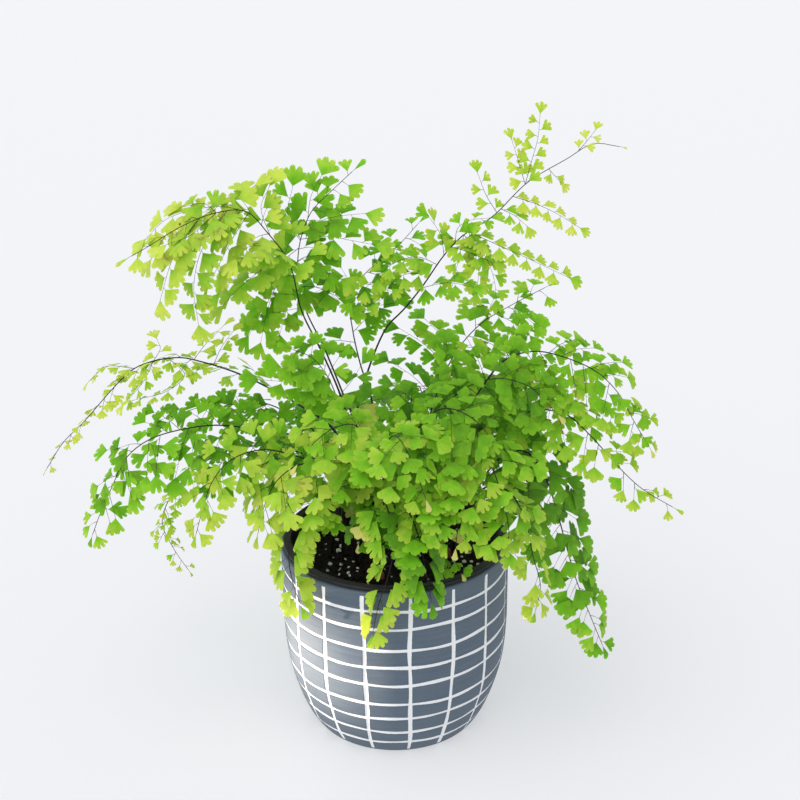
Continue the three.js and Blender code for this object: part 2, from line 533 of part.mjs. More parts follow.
/** A flat plate with the same triangles on both faces and a wall round its outline. */
function plate(outline, triangles) {
  const count = outline.length;
  const faces = [BLADE_THICKNESS / 2, -BLADE_THICKNESS / 2];
  const corners = faces.flatMap((z) => outline.flatMap(({ x, y }) => [x, y, z]));
  const wall = outline.flatMap((_, i) => {
    const next = (i + 1) % count;
    return [i, i + count, next, next, i + count, next + count];
  });
  const under = triangles.flatMap(([a, b, c]) => [a + count, c + count, b + count]);
  const geometry = new THREE.BufferGeometry();
  geometry.setAttribute("position", new THREE.Float32BufferAttribute(corners, 3));
  geometry.setIndex([...triangles.flat(), ...under, ...wall]);
  return geometry;
}

/** A branch as one thin blade that follows its curve, both faces bent alike. */
function branchBlade(frond, curve, firstSide, { fans, shrink, roll }) {
  const length = curve.getLength();
  const face = vector(frond.face).normalize();
  const blade = branchPlate(length, frond.leaf * FAN_SCALE * shrink, firstSide, fans);
  const at = blade.attributes.position;
  for (let i = 0; i < at.count; i++) {
    const share = THREE.MathUtils.clamp(at.getX(i) / length, 0, 1);
    const { along, out, across } = frameAt(curve, share, face, roll);
    const point = curve.getPointAt(share)
      .addScaledVector(along, at.getX(i) - share * length)
      .addScaledVector(across, at.getY(i))
      .addScaledVector(out, at.getZ(i));
    at.setXYZ(i, point.x, point.y, point.z);
  }
  return solidOf(blade);
}

/** The curves of a frond's side branches: an even row by rule, then its twigs. */
function branchCurves(frond, number, stem, rod) {
  const face = vector(frond.face).normalize();
  const last = tipStart(frond);
  const rowLength = frond.reach ? stem.getLength() * (last - frond.bare) : 0;
  const count = Math.round(rowLength / (frond.gap * ROW_THINNING));
  const row = Array.from({ length: count }, (_, i) => {
    const share = frond.bare + (last - frond.bare) * ((i + FIRST_BRANCH) / count);
    const place = (share - frond.bare) / (1 - frond.bare);
    const { along, out, across } = frameAt(stem, share, face, 0);
    const key = number + i * 5;
    const taper = (1 - place) ** BRANCH_TAPER * Math.min(1, BRANCH_START + place * BRANCH_SWELL);
    const length = frond.reach * taper * (1 + BRANCH_UNEVENNESS * spread(key * 3));
    const lean = radians(BRANCH_LEAN + BRANCH_LEAN_SPREAD * spread(key));
    const heading = along.multiplyScalar(Math.cos(lean))
      .addScaledVector(across, Math.sin(lean) * (i % 2 ? 1 : -1))
      .addScaledVector(out, BRANCH_LIFT * spread(key * 2))
      .normalize();
    const root = rod.beside(share);
    const middle = root.clone().addScaledVector(heading, length / 2);
    const tip = root.clone().addScaledVector(heading, length);
    middle.z -= (BRANCH_SAG * length) / 4;
    tip.z -= BRANCH_SAG * length;
    return curveThrough([root, middle, tip]);
  });
  const twigs = (frond.twigs ?? []).map(([share, ...points]) =>
    curveThrough([rod.beside(share), ...points.map(vector)]));
  return [stretch(stem, last, 1), ...twigs, ...row];
}

/** True where a piece keeps the clearance to every one of the others. */
function isClear(piece, others) {
  const box = piece.boundingBox();
  return others.every((other) => {
    const far = other.boundingBox();
    const apart = [0, 1, 2].some(
      (k) => box.min[k] > far.max[k] + CLEARANCE || far.min[k] > box.max[k] + CLEARANCE);
    return apart || piece.minGap(other, CLEARANCE) >= CLEARANCE;
  });
}

/** Every way a branch may be bent to pass clear, the plainest first. */
const POSTURES = FAN_LIMITS.flatMap((fans) =>
  SHRINKS.flatMap((shrink) => ROLLS.map((roll) => ({ fans, shrink, roll }))));

/** The same solid with both ends of every edge shorter than SHORTEST_EDGE drawn together. */
function withoutSlivers(solid) {
  const geometry = geometryOf(solid);
  const at = geometry.attributes.position;
  const [here, there] = [new THREE.Vector3(), new THREE.Vector3()];
  for (let i = 0; i < geometry.index.count; i++) {
    const next = geometry.index.getX(i % 3 === 2 ? i - 2 : i + 1);
    here.fromBufferAttribute(at, geometry.index.getX(i));
    there.fromBufferAttribute(at, next);
    if (here.distanceTo(there) < SHORTEST_EDGE) at.setXYZ(next, here.x, here.y, here.z);
  }
  return solidOf(geometry);
}

/** Pieces fused to one body. A hollow that this seals is filled and a loose scrap is dropped. */
function fused(pieces) {
  const bodies = Manifold.union(pieces).decompose();
  const largest = bodies.reduce((kept, body) => (body.volume() > kept.volume() ? body : kept));
  return withoutSlivers(largest);
}

/** Every frond as one solid. They grow by turns, a branch each, from the tips' blades on. */
function grow(fixed) {
  const stems = FRONDS.map(stemCurve);
  const paths = FRONDS.map((frond, i) => new Rod(frond, stems[i]));
  const rods = paths.map((path) => solidOf(path.geometry()));
  const branches = FRONDS.map((frond, i) => branchCurves(frond, i, stems[i], paths[i]));
  const blades = FRONDS.map(() => []);
  const mostBranches = Math.max(...branches.map((curves) => curves.length));
  for (let turn = 0; turn < mostBranches; turn++) {
    FRONDS.forEach((frond, i) => {
      if (turn >= branches[i].length) return;
      const others = [...fixed, ...rods.filter((_, k) => k !== i), ...blades.flat()];
      for (const posture of POSTURES) {
        const blade = branchBlade(frond, branches[i][turn], turn % 2 ? 1 : -1, posture);
        if (!isClear(blade, others)) continue;
        blades[i].push(blade);
        return;
      }
    });
  }
  return rods.map((rod, i) => fused([rod, ...blades[i]]));
}

// ---- the finished group ---------------------------------------------------------------

const GLAZE = new THREE.MeshStandardMaterial({ color: 0x66788c, roughness: 0.55 });
const BLACK_PLASTIC = new THREE.MeshStandardMaterial({ color: 0x17181a, roughness: 0.45 });
const DARK_SOIL = new THREE.MeshStandardMaterial({ color: 0x1d1613, roughness: 0.95 });
const FIRED_CLAY = new THREE.MeshStandardMaterial({ color: 0xa35a38, roughness: 0.9 });
const DEEP_GREEN = new THREE.Color(0x2f7d1c);
const LIME_GREEN = new THREE.Color(0xa9cf3c);

const fern = new THREE.Group();

function place(name, solid, material) {
  const mesh = new THREE.Mesh(geometryOf(solid), material);
  mesh.name = name;
  fern.add(mesh);
}

const pot = solidOf(outerPot());
const nursery = nurseryPot();
const ground = soil();
place("outer_pot", pot, GLAZE);
place("nursery_pot", nursery, BLACK_PLASTIC);
place("soil", ground, DARK_SOIL);
CLAY_CHIPS.forEach((chip, i) => place(`clay_chip_${i + 1}`, clayChip(chip), FIRED_CLAY));
grow([pot, nursery, ground]).forEach((solid, i) => {
  const color = DEEP_GREEN.clone().lerp(LIME_GREEN, FRONDS[i].tone);
  const leaf = new THREE.MeshStandardMaterial({ color, roughness: 0.6 });
  place(`frond_${FRONDS[i].name}`, solid, leaf);
});

export default fern;
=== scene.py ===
"""A maidenhair fern in a black nursery pot, which hangs in a glazed pot with a carved grid.

Every length in this file is in millimetres until a mesh is finished, which turns it to metres.
The origin is the centre of the glazed pot's foot, +Z is up and the plant's front faces -Y.
"""
import math

import bmesh
import bpy
from mathutils import Matrix, Vector


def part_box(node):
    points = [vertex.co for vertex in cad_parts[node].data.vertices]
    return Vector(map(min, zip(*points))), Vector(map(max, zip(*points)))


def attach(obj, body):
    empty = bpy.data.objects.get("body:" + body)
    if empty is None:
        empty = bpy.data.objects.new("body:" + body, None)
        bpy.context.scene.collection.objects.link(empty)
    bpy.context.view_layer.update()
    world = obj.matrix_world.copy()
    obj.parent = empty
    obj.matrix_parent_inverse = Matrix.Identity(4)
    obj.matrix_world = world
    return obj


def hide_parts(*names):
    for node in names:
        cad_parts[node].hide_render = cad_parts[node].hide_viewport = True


bl_info = {
    "name": "Maidenhair fern in a glazed pot",
    "version": (1, 0, 0),
    "blender": (4, 5, 0),
    "location": "View3D > Sidebar > Fern",
    "description": "Dresses the frame of a potted maidenhair fern",
    "category": "Add Mesh",
}

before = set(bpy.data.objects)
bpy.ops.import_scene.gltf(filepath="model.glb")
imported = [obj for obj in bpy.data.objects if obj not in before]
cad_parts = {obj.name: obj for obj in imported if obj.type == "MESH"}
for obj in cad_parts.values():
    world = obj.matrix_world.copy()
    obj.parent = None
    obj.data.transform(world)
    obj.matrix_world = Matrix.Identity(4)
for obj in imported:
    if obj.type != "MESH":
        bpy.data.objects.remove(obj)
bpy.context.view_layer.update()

MM = 0.001
GOLDEN_SHARE = 0.618034  # steps of this share scatter evenly over a range
GOLDEN_ANGLE = 2.39996  # steps of this turn, in radians, scatter evenly over a disc
MERGED = 1e-4  # points nearer to each other than this are one
DOWN = Vector((0, 0, -1))


def node_box(node):
    """A node's lowest and highest corners, in millimetres."""
    low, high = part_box(node)
    return low / MM, high / MM


POT_HIGH = node_box("outer_pot")[1]
POT_HEIGHT = POT_HIGH.z
POT_RADIUS = POT_HIGH.x
NURSERY_LOW, NURSERY_HIGH = node_box("nursery_pot")
LIP_RADIUS = NURSERY_HIGH.x
SOIL_LOW, SOIL_HIGH = node_box("soil")
# The soil's level at the nursery pot, how much higher its middle stands, and its waves, all
# as in the frame.
SOIL_LEVEL = 99
SOIL_HEAP = 1.6
SOIL_WAVE = 0.8
SOIL_WAVELENGTH = 6.5
SOIL_TOP = SOIL_LEVEL + SOIL_HEAP + SOIL_WAVE
STEM_FOOT = 86  # how far down the stems reach in the soil

# ---- the fronds --------------------------------------------------------------------------
# stem: where it leaves the soil (x, y), then the points that it arches through to its tip.
# twigs: side branches that stand out, each its place along the stem from 0 to 1, then points.
# bare: share of the stem with no branches. gap: distance between pairs of other branches.
# reach: length of the longest of those. leaf: a leaflet's length. face: which way the
# frond's upper side looks. tone: 0 for deep green to 1 for lime.

FRONDS = [
    dict(name="top_left", face=(-0.2, -0.5, 0.85), bare=0.6, gap=20, reach=14, leaf=12, tone=0.75,
         stem=((-26, 24), (-24, 24, 159), (-29, 22, 182), (-38, 18, 208), (-47, 14, 231),
               (-52, 8, 259), (-62, 6, 275), (-72, 2, 287), (-87, -2, 287), (-104, -6, 281),
               (-119, -12, 273), (-127, -14, 269)),
         twigs=((0.67, (-65, 4, 257), (-77, 0, 248), (-84, -2, 241)),
                (0.77, (-78, 0, 275), (-85, -4, 263), (-92, -8, 250)),
                (0.81, (-90, -6, 276), (-95, -10, 266), (-98, -12, 251), (-97, -12, 234)),
                (0.86, (-101, -9, 277), (-108, -13, 265), (-114, -15, 248)),
                (0.78, (-84, 4, 289), (-100, 4, 287), (-112, 2, 283), (-121, 0, 275)),
                (0.71, (-65, 10, 287), (-61, 12, 296)), (0.78, (-77, 6, 292), (-69, 10, 297)),
                (0.83, (-92, 2, 291), (-103, 4, 289)),
                (0.67, (-60, 0, 269), (-70, -6, 271), (-75, -10, 267)), (0.93, (-117, -12, 268)),
                (0.83, (-98, -10, 278), (-108, -14, 275)))),
    dict(name="top_front", face=(0, -0.65, 0.75), bare=0.62, gap=17, reach=14, leaf=12.8, tone=0.42,
         stem=((-20, 17), (-20, 20, 161), (-27, 24, 180), (-37, 30, 205), (-46, 34, 224),
               (-50, 36, 238), (-50, 38, 251), (-48, 40, 263), (-42, 42, 277), (-31, 42, 288),
               (-20, 42, 298)),
         twigs=((0.8, (-54, 36, 277), (-51, 34, 291)),
                (0.74, (-62, 32, 238), (-69, 28, 226), (-76, 26, 215)),
                (0.69, (-55, 30, 230), (-60, 28, 215)), (0.69, (-37, 34, 237), (-25, 30, 228)),
                (0.8, (-34, 36, 265), (-22, 32, 264), (-10, 30, 262)),
                (0.83, (-30, 38, 275), (-15, 36, 277)), (0.85, (-42, 44, 285), (-37, 46, 294)),
                (0.73, (-65, 32, 247), (-80, 26, 247), (-89, 22, 240)),
                (0.74, (-38, 32, 251), (-28, 28, 245)),
                (0.78, (-57, 30, 253), (-61, 26, 242), (-66, 24, 228), (-70, 24, 212)))),
    dict(name="long_right", face=(0.1, -0.6, 0.8), bare=0.56, gap=30, reach=0, leaf=10.3, tone=0.6,
         stem=((-13, 13), (-22, 16, 157), (-20, 20, 171), (-14, 24, 192), (-3, 28, 217), (6, 30, 226),
               (16, 32, 238), (28, 34, 255), (38, 36, 265), (53, 38, 274), (72, 44, 291),
               (93, 50, 302), (107, 54, 309), (121, 56, 307)),
         twigs=((0.6, (14, 30, 255), (2, 27, 253), (-10, 24, 244), (-20, 22, 234)),
                (0.62, (26, 32, 266), (20, 30, 276)),
                (0.67, (49, 32, 255), (54, 28, 243), (55, 26, 234)),
                (0.68, (57, 32, 260), (74, 28, 253), (92, 24, 245)),
                (0.65, (35, 35, 269), (41, 35, 273), (51, 36, 274)),
                (0.74, (50, 42, 285), (46, 44, 295)),
                (0.78, (77, 40, 280), (88, 38, 275), (98, 36, 269)),
                (0.81, (74, 46, 302), (77, 48, 313), (78, 50, 324)),
                (0.92, (103, 53, 310), (107, 54, 315)), (0.55, (30, 26, 242), (41, 22, 241)),
                (0.67, (35, 30, 252), (32, 28, 240)), (0.68, (46, 32, 254), (45, 26, 238)),
                (0.64, (40, 28, 258), (52, 26, 253)), (0.58, (5, 26, 246), (-6, 22, 234)),
                (0.75, (65, 36, 275), (70, 34, 271)), (0.86, (89, 46, 291)),
                (0.81, (67, 48, 302), (64, 50, 311)))),
    dict(name="middle_thin", face=(0, -0.6, 0.8), bare=0.58, gap=19, reach=30, leaf=11, tone=0.35,
         stem=((-6, 22), (-11, 34, 149), (-12, 40, 170), (-18, 44, 190), (-22, 46, 210),
               (-23, 48, 224), (-17, 48, 238), (-7, 48, 248), (3, 48, 256), (14, 48, 268))),
    dict(name="left_thin", face=(0, 0, 1), bare=0.5, gap=17, reach=12, leaf=8.5, tone=0.65,
         stem=((-32, 14), (-28, 18, 150), (-34, 18, 164), (-47, 18, 174), (-62, 18, 184),
               (-82, 18, 195), (-102, 16, 203), (-112, 14, 206), (-126, 12, 205), (-137, 10, 201),
               (-148, 8, 191), (-164, 4, 174), (-175, 0, 164), (-184, -4, 151)),
         twigs=((0.43, (-70, 14, 194), (-75, 10, 202)), (0.57, (-91, 22, 209), (-86, 26, 215)),
                (0.61, (-100, 22, 210), (-91, 28, 218)),
                (0.66, (-109, 6, 199), (-118, -2, 193), (-133, -8, 191)),
                (0.69, (-123, 18, 210), (-125, 22, 213)), (0.69, (-131, 2, 196), (-139, -4, 188)),
                (0.73, (-152, 12, 202), (-160, 12, 195)))),
    dict(name="left_droop", face=(-0.2, -0.6, 0.75), bare=0.38, gap=14, reach=30, leaf=12, tone=0.3,
         stem=((-27, 4), (-26, 4, 151), (-36, 2, 163), (-54, -2, 168), (-72, -6, 173), (-92, -12, 178),
               (-110, -18, 178), (-125, -24, 175), (-136, -28, 167), (-144, -32, 152),
               (-150, -34, 140), (-155, -36, 128))),
    dict(name="left_upper", face=(0, -0.3, 0.95), bare=0.42, gap=20, reach=20, leaf=9.5, tone=0.3,
         stem=((-38, 24), (-31, 26, 139), (-41, 28, 154), (-56, 32, 165), (-73, 34, 172),
               (-85, 36, 170), (-99, 36, 171), (-113, 36, 167), (-127, 34, 163))),
    dict(name="left_light", face=(-0.2, -0.8, 0.6), bare=0.5, gap=13, reach=14, leaf=12, tone=0.8,
         stem=((-34, -6), (-31, -10, 150), (-48, -18, 162), (-67, -26, 170), (-82, -34, 168),
               (-91, -40, 159), (-96, -44, 146), (-100, -46, 133))),
    dict(name="left_faint", face=(0, -0.4, 0.9), bare=0.5, gap=15, reach=12, leaf=6, tone=0.6,
         stem=((-34, 34), (-37, 50, 122), (-61, 60, 132), (-91, 68, 130), (-116, 72, 117),
               (-135, 74, 96), (-142, 74, 78), (-136, 74, 59), (-128, 72, 46))),
    dict(name="left_front", face=(-0.3, -0.4, 0.9), bare=0.38, gap=17, reach=32, leaf=13, tone=0.75,
         stem=((-28, -14), (-29, -20, 146), (-39, -26, 161), (-48, -32, 164), (-58, -38, 159),
               (-65, -42, 147), (-69, -44, 132))),
    dict(name="left_rim", face=(-0.2, -0.4, 0.9), bare=0.4, gap=12, reach=5, leaf=13, tone=0.8,
         stem=((-20, -22), (-28, -28, 133), (-37, -36, 146), (-46, -44, 144), (-52, -50, 134),
               (-53, -54, 122), (-51, -57, 109), (-48, -58, 99))),
    dict(name="centre_left", face=(0, -0.4, 0.9), bare=0.35, gap=17, reach=34, leaf=14, tone=0.7,
         stem=((-16, -6), (-15, -8, 132), (-13, -16, 156), (-14, -24, 174), (-20, -32, 186),
               (-30, -40, 187), (-39, -46, 182), (-46, -50, 174))),
    dict(name="stem_cluster", face=(0, -0.7, 0.7), bare=0.78, gap=13, reach=13, leaf=12.5, tone=0.35,
         stem=((-24, 11), (-24, 10, 156), (-26, 6, 173), (-30, 0, 190), (-34, -6, 203),
               (-41, -10, 214), (-50, -12, 219)),
         twigs=((0.69, (-42, -4, 195), (-55, -8, 200), (-67, -10, 202)),
                (0.71, (-22, 10, 193), (-17, 14, 200)), (0.83, (-45, -14, 208), (-55, -18, 212)))),
    dict(name="right_upper", face=(0.2, -0.6, 0.8), bare=0.38, gap=16, reach=36, leaf=12, tone=0.45,
         stem=((20, 14), (21, 14, 133), (34, 12, 164), (46, 10, 187), (59, 8, 205), (74, 4, 211),
               (89, 0, 209), (105, -6, 203), (116, -12, 193), (123, -18, 181), (131, -22, 168))),
    dict(name="right_back", face=(0.1, -0.5, 0.85), bare=0.47, gap=18, reach=42, leaf=11.5, tone=0.35,
         stem=((8, 26), (10, 32, 125), (18, 38, 153), (25, 42, 175), (35, 44, 197), (49, 48, 212),
               (66, 50, 222), (84, 52, 231))),
    dict(name="right_mid", face=(0.2, -0.6, 0.75), bare=0.4, gap=13, reach=19, leaf=11, tone=0.5,
         stem=((26, 6), (33, 2, 133), (52, -4, 165), (71, -10, 183), (88, -16, 184), (102, -22, 173),
               (113, -26, 161), (127, -30, 148), (143, -34, 139))),
    dict(name="right_low", face=(0.3, -0.7, 0.6), bare=0.36, gap=11, reach=16.5, leaf=12.5, tone=0.12,
         stem=((32, -4), (41, -8, 131), (56, -14, 159), (68, -20, 165), (78, -26, 153), (84, -30, 136),
               (89, -34, 118), (95, -36, 98), (102, -38, 80), (110, -38, 60))),
    dict(name="right_front", face=(0.2, -0.4, 0.9), bare=0.4, gap=13, reach=9, leaf=11, tone=0.7,
         stem=((34, -18), (35, -24, 128), (48, -38, 154), (58, -48, 155), (65, -56, 144),
               (69, -60, 126), (73, -62, 110), (71, -63, 97))),
    dict(name="front_right", face=(0.1, -0.4, 0.9), bare=0.35, gap=17, reach=38, leaf=14, tone=0.6,
         stem=((15, -10), (16, -16, 124), (26, -30, 157), (37, -44, 176), (47, -56, 174),
               (53, -64, 159), (56, -68, 144), (55, -70, 132))),
    dict(name="front_mid", face=(0, -0.4, 0.9), bare=0.38, gap=17, reach=36, leaf=14, tone=0.6,
         stem=((8, -18), (7, -26, 123), (16, -42, 156), (24, -54, 169), (29, -64, 164), (31, -70, 151),
               (30, -74, 140))),
    dict(name="front_centre", face=(-0.1, -0.4, 0.9), bare=0.36, gap=12, reach=7, leaf=14, tone=0.55,
         stem=((-6, -24), (-4, -34, 128), (-5, -46, 151), (-2, -56, 147), (0, -62, 134),
               (-3, -66, 119), (-8, -69, 104), (-11, -71, 90))),
    dict(name="front_drop", face=(0.1, -0.4, 0.9), bare=0.4, gap=12, reach=6, leaf=13, tone=0.3,
         stem=((2, -28), (3, -40, 128), (7, -52, 147), (12, -62, 139), (15, -67, 125), (18, -70, 108))),
    dict(name="upper_mass", face=(0.1, -0.7, 0.7), bare=0.36, gap=17, reach=44, leaf=13, tone=0.3,
         stem=((4, 8), (4, 4, 126), (14, 0, 156), (25, -4, 181), (38, -8, 196), (55, -14, 203),
               (70, -20, 200), (82, -26, 189))),
    dict(name="mid_mass", face=(0, -0.4, 0.9), bare=0.36, gap=17, reach=42, leaf=13, tone=0.4,
         stem=((0, 0), (1, -6, 125), (6, -14, 157), (14, -24, 182), (26, -34, 195), (39, -42, 193),
               (49, -48, 182), (53, -52, 167))),
    dict(name="low_mass", face=(0, -0.4, 0.9), bare=0.38, gap=17, reach=36, leaf=14, tone=0.6,
         stem=((-6, -10), (-4, -18, 130), (-5, -32, 163), (-1, -46, 185), (4, -60, 189),
               (10, -70, 180), (15, -76, 167))),
    dict(name="inner_low", face=(-0.1, -0.4, 0.9), bare=0.4, gap=14, reach=15, leaf=12.6, tone=0.25,
         stem=((-12, -16), (-9, -20, 123), (-9, -24, 141), (-13, -32, 145), (-16, -38, 138),
               (-18, -42, 126))),
    dict(name="short_low", face=(0.2, -0.8, 0.5), bare=0.6, gap=14, reach=8, leaf=10, tone=0.3,
         stem=((22, -32), (24, -38, 118), (28, -47, 122), (33, -57, 116))),
    dict(name="back_left", face=(-0.3, 0.6, 0.75), bare=0.36, gap=19, reach=34, leaf=12.5, tone=0.4,
         stem=((-16, 34), (-20, 44, 126), (-27, 62, 146), (-38, 88, 152), (-50, 112, 136),
               (-58, 128, 108), (-62, 134, 84))),
    dict(name="back_mid", face=(0, 0.7, 0.7), bare=0.36, gap=19, reach=36, leaf=12.5, tone=0.4,
         stem=((-2, 36), (2, 46, 130), (8, 64, 152), (14, 92, 158), (18, 118, 140), (20, 134, 110),
               (20, 140, 84))),
    dict(name="back_right", face=(0.3, 0.6, 0.75), bare=0.36, gap=19, reach=36, leaf=12.5, tone=0.4,
         stem=((16, 32), (24, 44, 134), (36, 62, 160), (52, 86, 164), (68, 108, 146), (80, 124, 116),
               (86, 132, 90))),
    dict(name="back_low_left", face=(-0.3, 0.7, 0.6), bare=0.42, gap=18, reach=24, leaf=12, tone=0.3,
         stem=((-24, 40), (-34, 56, 128), (-48, 74, 138), (-60, 88, 122), (-66, 96, 96),
               (-70, 98, 74))),
    dict(name="back_low_right", face=(0.3, 0.7, 0.6), bare=0.42, gap=18, reach=24, leaf=12.3, tone=0.3,
         stem=((24, 38), (34, 54, 128), (46, 74, 138), (56, 90, 122), (62, 98, 96), (64, 100, 72))),
]


# ---- settings ----------------------------------------------------------------------------


def number(name, description, default, **limits):
    """A number from 0 up that a user may change."""
    return bpy.props.FloatProperty(
        name=name, description=description, default=default, min=0, **limits)


def whole_number(name, description, default):
    """A whole number from 0 up that a user may change."""
    return bpy.props.IntProperty(name=name, description=description, default=default, min=0)


def colour(name, description, default):
    """A linear colour that a user may change."""
    return bpy.props.FloatVectorProperty(
        name=name, description=description, default=default, size=3, min=0, max=1, subtype="COLOR")


class FernPotSettings(bpy.types.PropertyGroup):
    """The two pots."""

    line_width: number("Line width", "Width of the carved lines round the pot, in mm", 1.9)
    upright_width: number("Upright width", "Width of the carved lines up the pot, in mm", 2.2)
    line_depth: number("Line depth", "How deep the lines are carved, in mm", 0.45)
    glaze: colour("Glaze", "The slate glaze", (0.060, 0.094, 0.140))
    worn_glaze: colour("Worn glaze", "Where the brush left the glaze thin", (0.125, 0.165, 0.205))
    slip: colour("Slip", "The pale clay that the carved lines show", (0.92, 0.93, 0.94))
    plastic: colour("Plastic", "The black nursery pot", (0.016, 0.017, 0.018))


class FernSoilSettings(bpy.types.PropertyGroup):
    """The soil and what lies on it."""

    soil: colour("Soil", "The damp potting mix", (0.006, 0.0045, 0.004))
    dry_soil: colour("Dry soil", "Its drier crumbs", (0.030, 0.020, 0.014))
    perlite: colour("Perlite", "The white grains in it", (1.0, 0.98, 0.93))
    perlite_grains: whole_number("Perlite grains", "How many white grains lie on the soil", 150)
    soil_crumbs: whole_number("Soil crumbs", "How many dark crumbs lie on the soil", 420)
    clay: colour("Clay", "The fired clay chips", (0.42, 0.115, 0.045))


class FernPlantSettings(bpy.types.PropertyGroup):
    """The fern itself."""

    deep: colour("Deep green", "Old leaflets in the shade", (0.030, 0.185, 0.002))
    green: colour("Green", "Grown leaflets", (0.168, 0.476, 0.006))
    lime: colour("Lime", "Young leaflets", (0.620, 0.780, 0.090))
    pale: colour("Pale green", "The youngest, thinnest leaflets", (0.740, 0.850, 0.330))
    yellow: colour("Yellow", "The few leaflets that fade", (0.680, 0.700, 0.190))
    stalk: colour("Stalk", "The shiny black stems", (0.006, 0.004, 0.005))
    twig: colour("Twig", "The hair-thin twigs", (0.040, 0.028, 0.022))
    leaf_thickness: number("Leaflet thickness", "For a leaflet 10 mm long, in mm", 0.22)
    stem_radius: number("Stem radius", "A stem's radius where it leaves the soil, in mm", 0.85)
    twig_radius: number("Twig radius", "A side branch's radius at its root, in mm", 0.17)


class FernStudioSettings(bpy.types.PropertyGroup):
    """The lamps and the floor."""

    beam_power: number("Beam power", "Power of the low beam from the left, in watts", 0.052)
    key_strength: number("Key strength", "Strength of the wide light", 1.25)
    key_softness: number("Key softness", "How wide the wide light is, in degrees", 80)
    sky: number("Sky", "Strength of the even light", 0.70)
    floor: colour("Floor", "The plain pale floor", (0.90, 0.91, 0.93))
    floor_glow: number("Floor glow", "How much of the floor's brightness is its own", 0.5, max=1)


# ---- shader helpers ----------------------------------------------------------------------


def set_inputs(node, values):
    """Sets a node's inputs by their names."""
    for name, value in values.items():
        node.inputs[name].default_value = value


def new_material(name, inputs=()):
    """A material, its nodes and its Principled BSDF with some of its inputs set."""
    material = bpy.data.materials.new(name)
    material.use_nodes = True
    nodes = material.node_tree.nodes
    shader = nodes["Principled BSDF"]
    set_inputs(shader, dict(inputs))
    return material, nodes, shader


def put(nodes, kind, inputs=(), **values):
    """A new shader node with its own values, and its inputs by name."""
    node = nodes.new(kind)
    for name, value in values.items():
        setattr(node, name, value)
    set_inputs(node, dict(inputs))
    return node


def join(nodes, *pairs):
    """Links sockets, each pair from an output to an input."""
    for source, target in pairs:
        nodes.id_data.links.new(source, target)


def opaque(rgb):
    """A linear colour with its alpha."""
    return (*rgb, 1.0)


def math_node(nodes, operation, first, second=None, clamp=False):
    """The output of a Math node whose inputs are sockets or numbers."""
    node = put(nodes, "ShaderNodeMath", operation=operation, use_clamp=clamp)
    for slot, value in zip(node.inputs, (first, second)):
        if isinstance(value, bpy.types.NodeSocket):
            join(nodes, (value, slot))
        elif value is not None:
            slot.default_value = value
    return node.outputs["Value"]


def times(nodes, first, second, clamp=False):
    """The product of two sockets or numbers."""
    return math_node(nodes, "MULTIPLY", first, second, clamp)


def plus(nodes, first, second, clamp=False):
    """The sum of two sockets or numbers."""
    return math_node(nodes, "ADD", first, second, clamp)


def swing(nodes, mask, size, middle=0.5):
    """How far a mask stands from its middle, times a size."""
    return times(nodes, math_node(nodes, "SUBTRACT", mask, middle), size)


def mixed(nodes, factor, first, second):
    """The colour output of a Mix node whose inputs are sockets, colours or numbers."""
    node = put(nodes, "ShaderNodeMix", data_type="RGBA")
    for slot, value in ((node.inputs[0], factor), (node.inputs[6], first), (node.inputs[7], second)):
        if isinstance(value, bpy.types.NodeSocket):
            join(nodes, (value, slot))
        else:
            slot.default_value = value if slot is node.inputs[0] else opaque(value)
    return node.outputs[2]


def layer_value(nodes, layer):
    """The value of a layer of the mesh's vertices."""
    return put(nodes, "ShaderNodeAttribute", attribute_name=layer).outputs["Fac"]


def finish_surface(nodes, shader, tone, mask, smooth, rough):
    """Gives a shader its colour, and a roughness that a mask leads from smooth to rough."""
    dull = put(nodes, "ShaderNodeMapRange", {"To Min": smooth, "To Max": rough})
    join(nodes, (tone, shader.inputs["Base Color"]), (mask, dull.inputs["Value"]),
         (dull.outputs[0], shader.inputs["Roughness"]))


def bump(nodes, shader, height, distance):
    """Gives a shader a Bump node, with a distance in millimetres."""
    node = put(nodes, "ShaderNodeBump", {"Strength": 1.0, "Distance": distance * MM})
    join(nodes, (height, node.inputs["Height"]), (node.outputs["Normal"], shader.inputs["Normal"]))


def new_group(name, inputs, outputs):
    """An empty node group with float inputs that have defaults, and float outputs."""
    group = bpy.data.node_groups.new(name, "ShaderNodeTree")
    for label, default in inputs.items():
        socket = group.interface.new_socket(label, in_out="INPUT", socket_type="NodeSocketFloat")
        socket.default_value = default
    for label in outputs:
        group.interface.new_socket(label, in_out="OUTPUT", socket_type="NodeSocketFloat")
    return group, group.nodes.new("NodeGroupInput"), group.nodes.new("NodeGroupOutput")


def group_node(nodes, name, inputs):
    """The outputs of a node that holds one of this file's groups, with its own values."""
    return put(nodes, "ShaderNodeGroup", inputs, node_tree=bpy.data.node_groups[name]).outputs


def mottle(nodes, size, stretch=1.0, detail=3.0, contrast=1.0):
    """The mask of a Mottle group with its own values."""
    values = {"Size": size, "Stretch": stretch, "Detail": detail, "Contrast": contrast}
    return group_node(nodes, "Mottle", values)["Mask"]


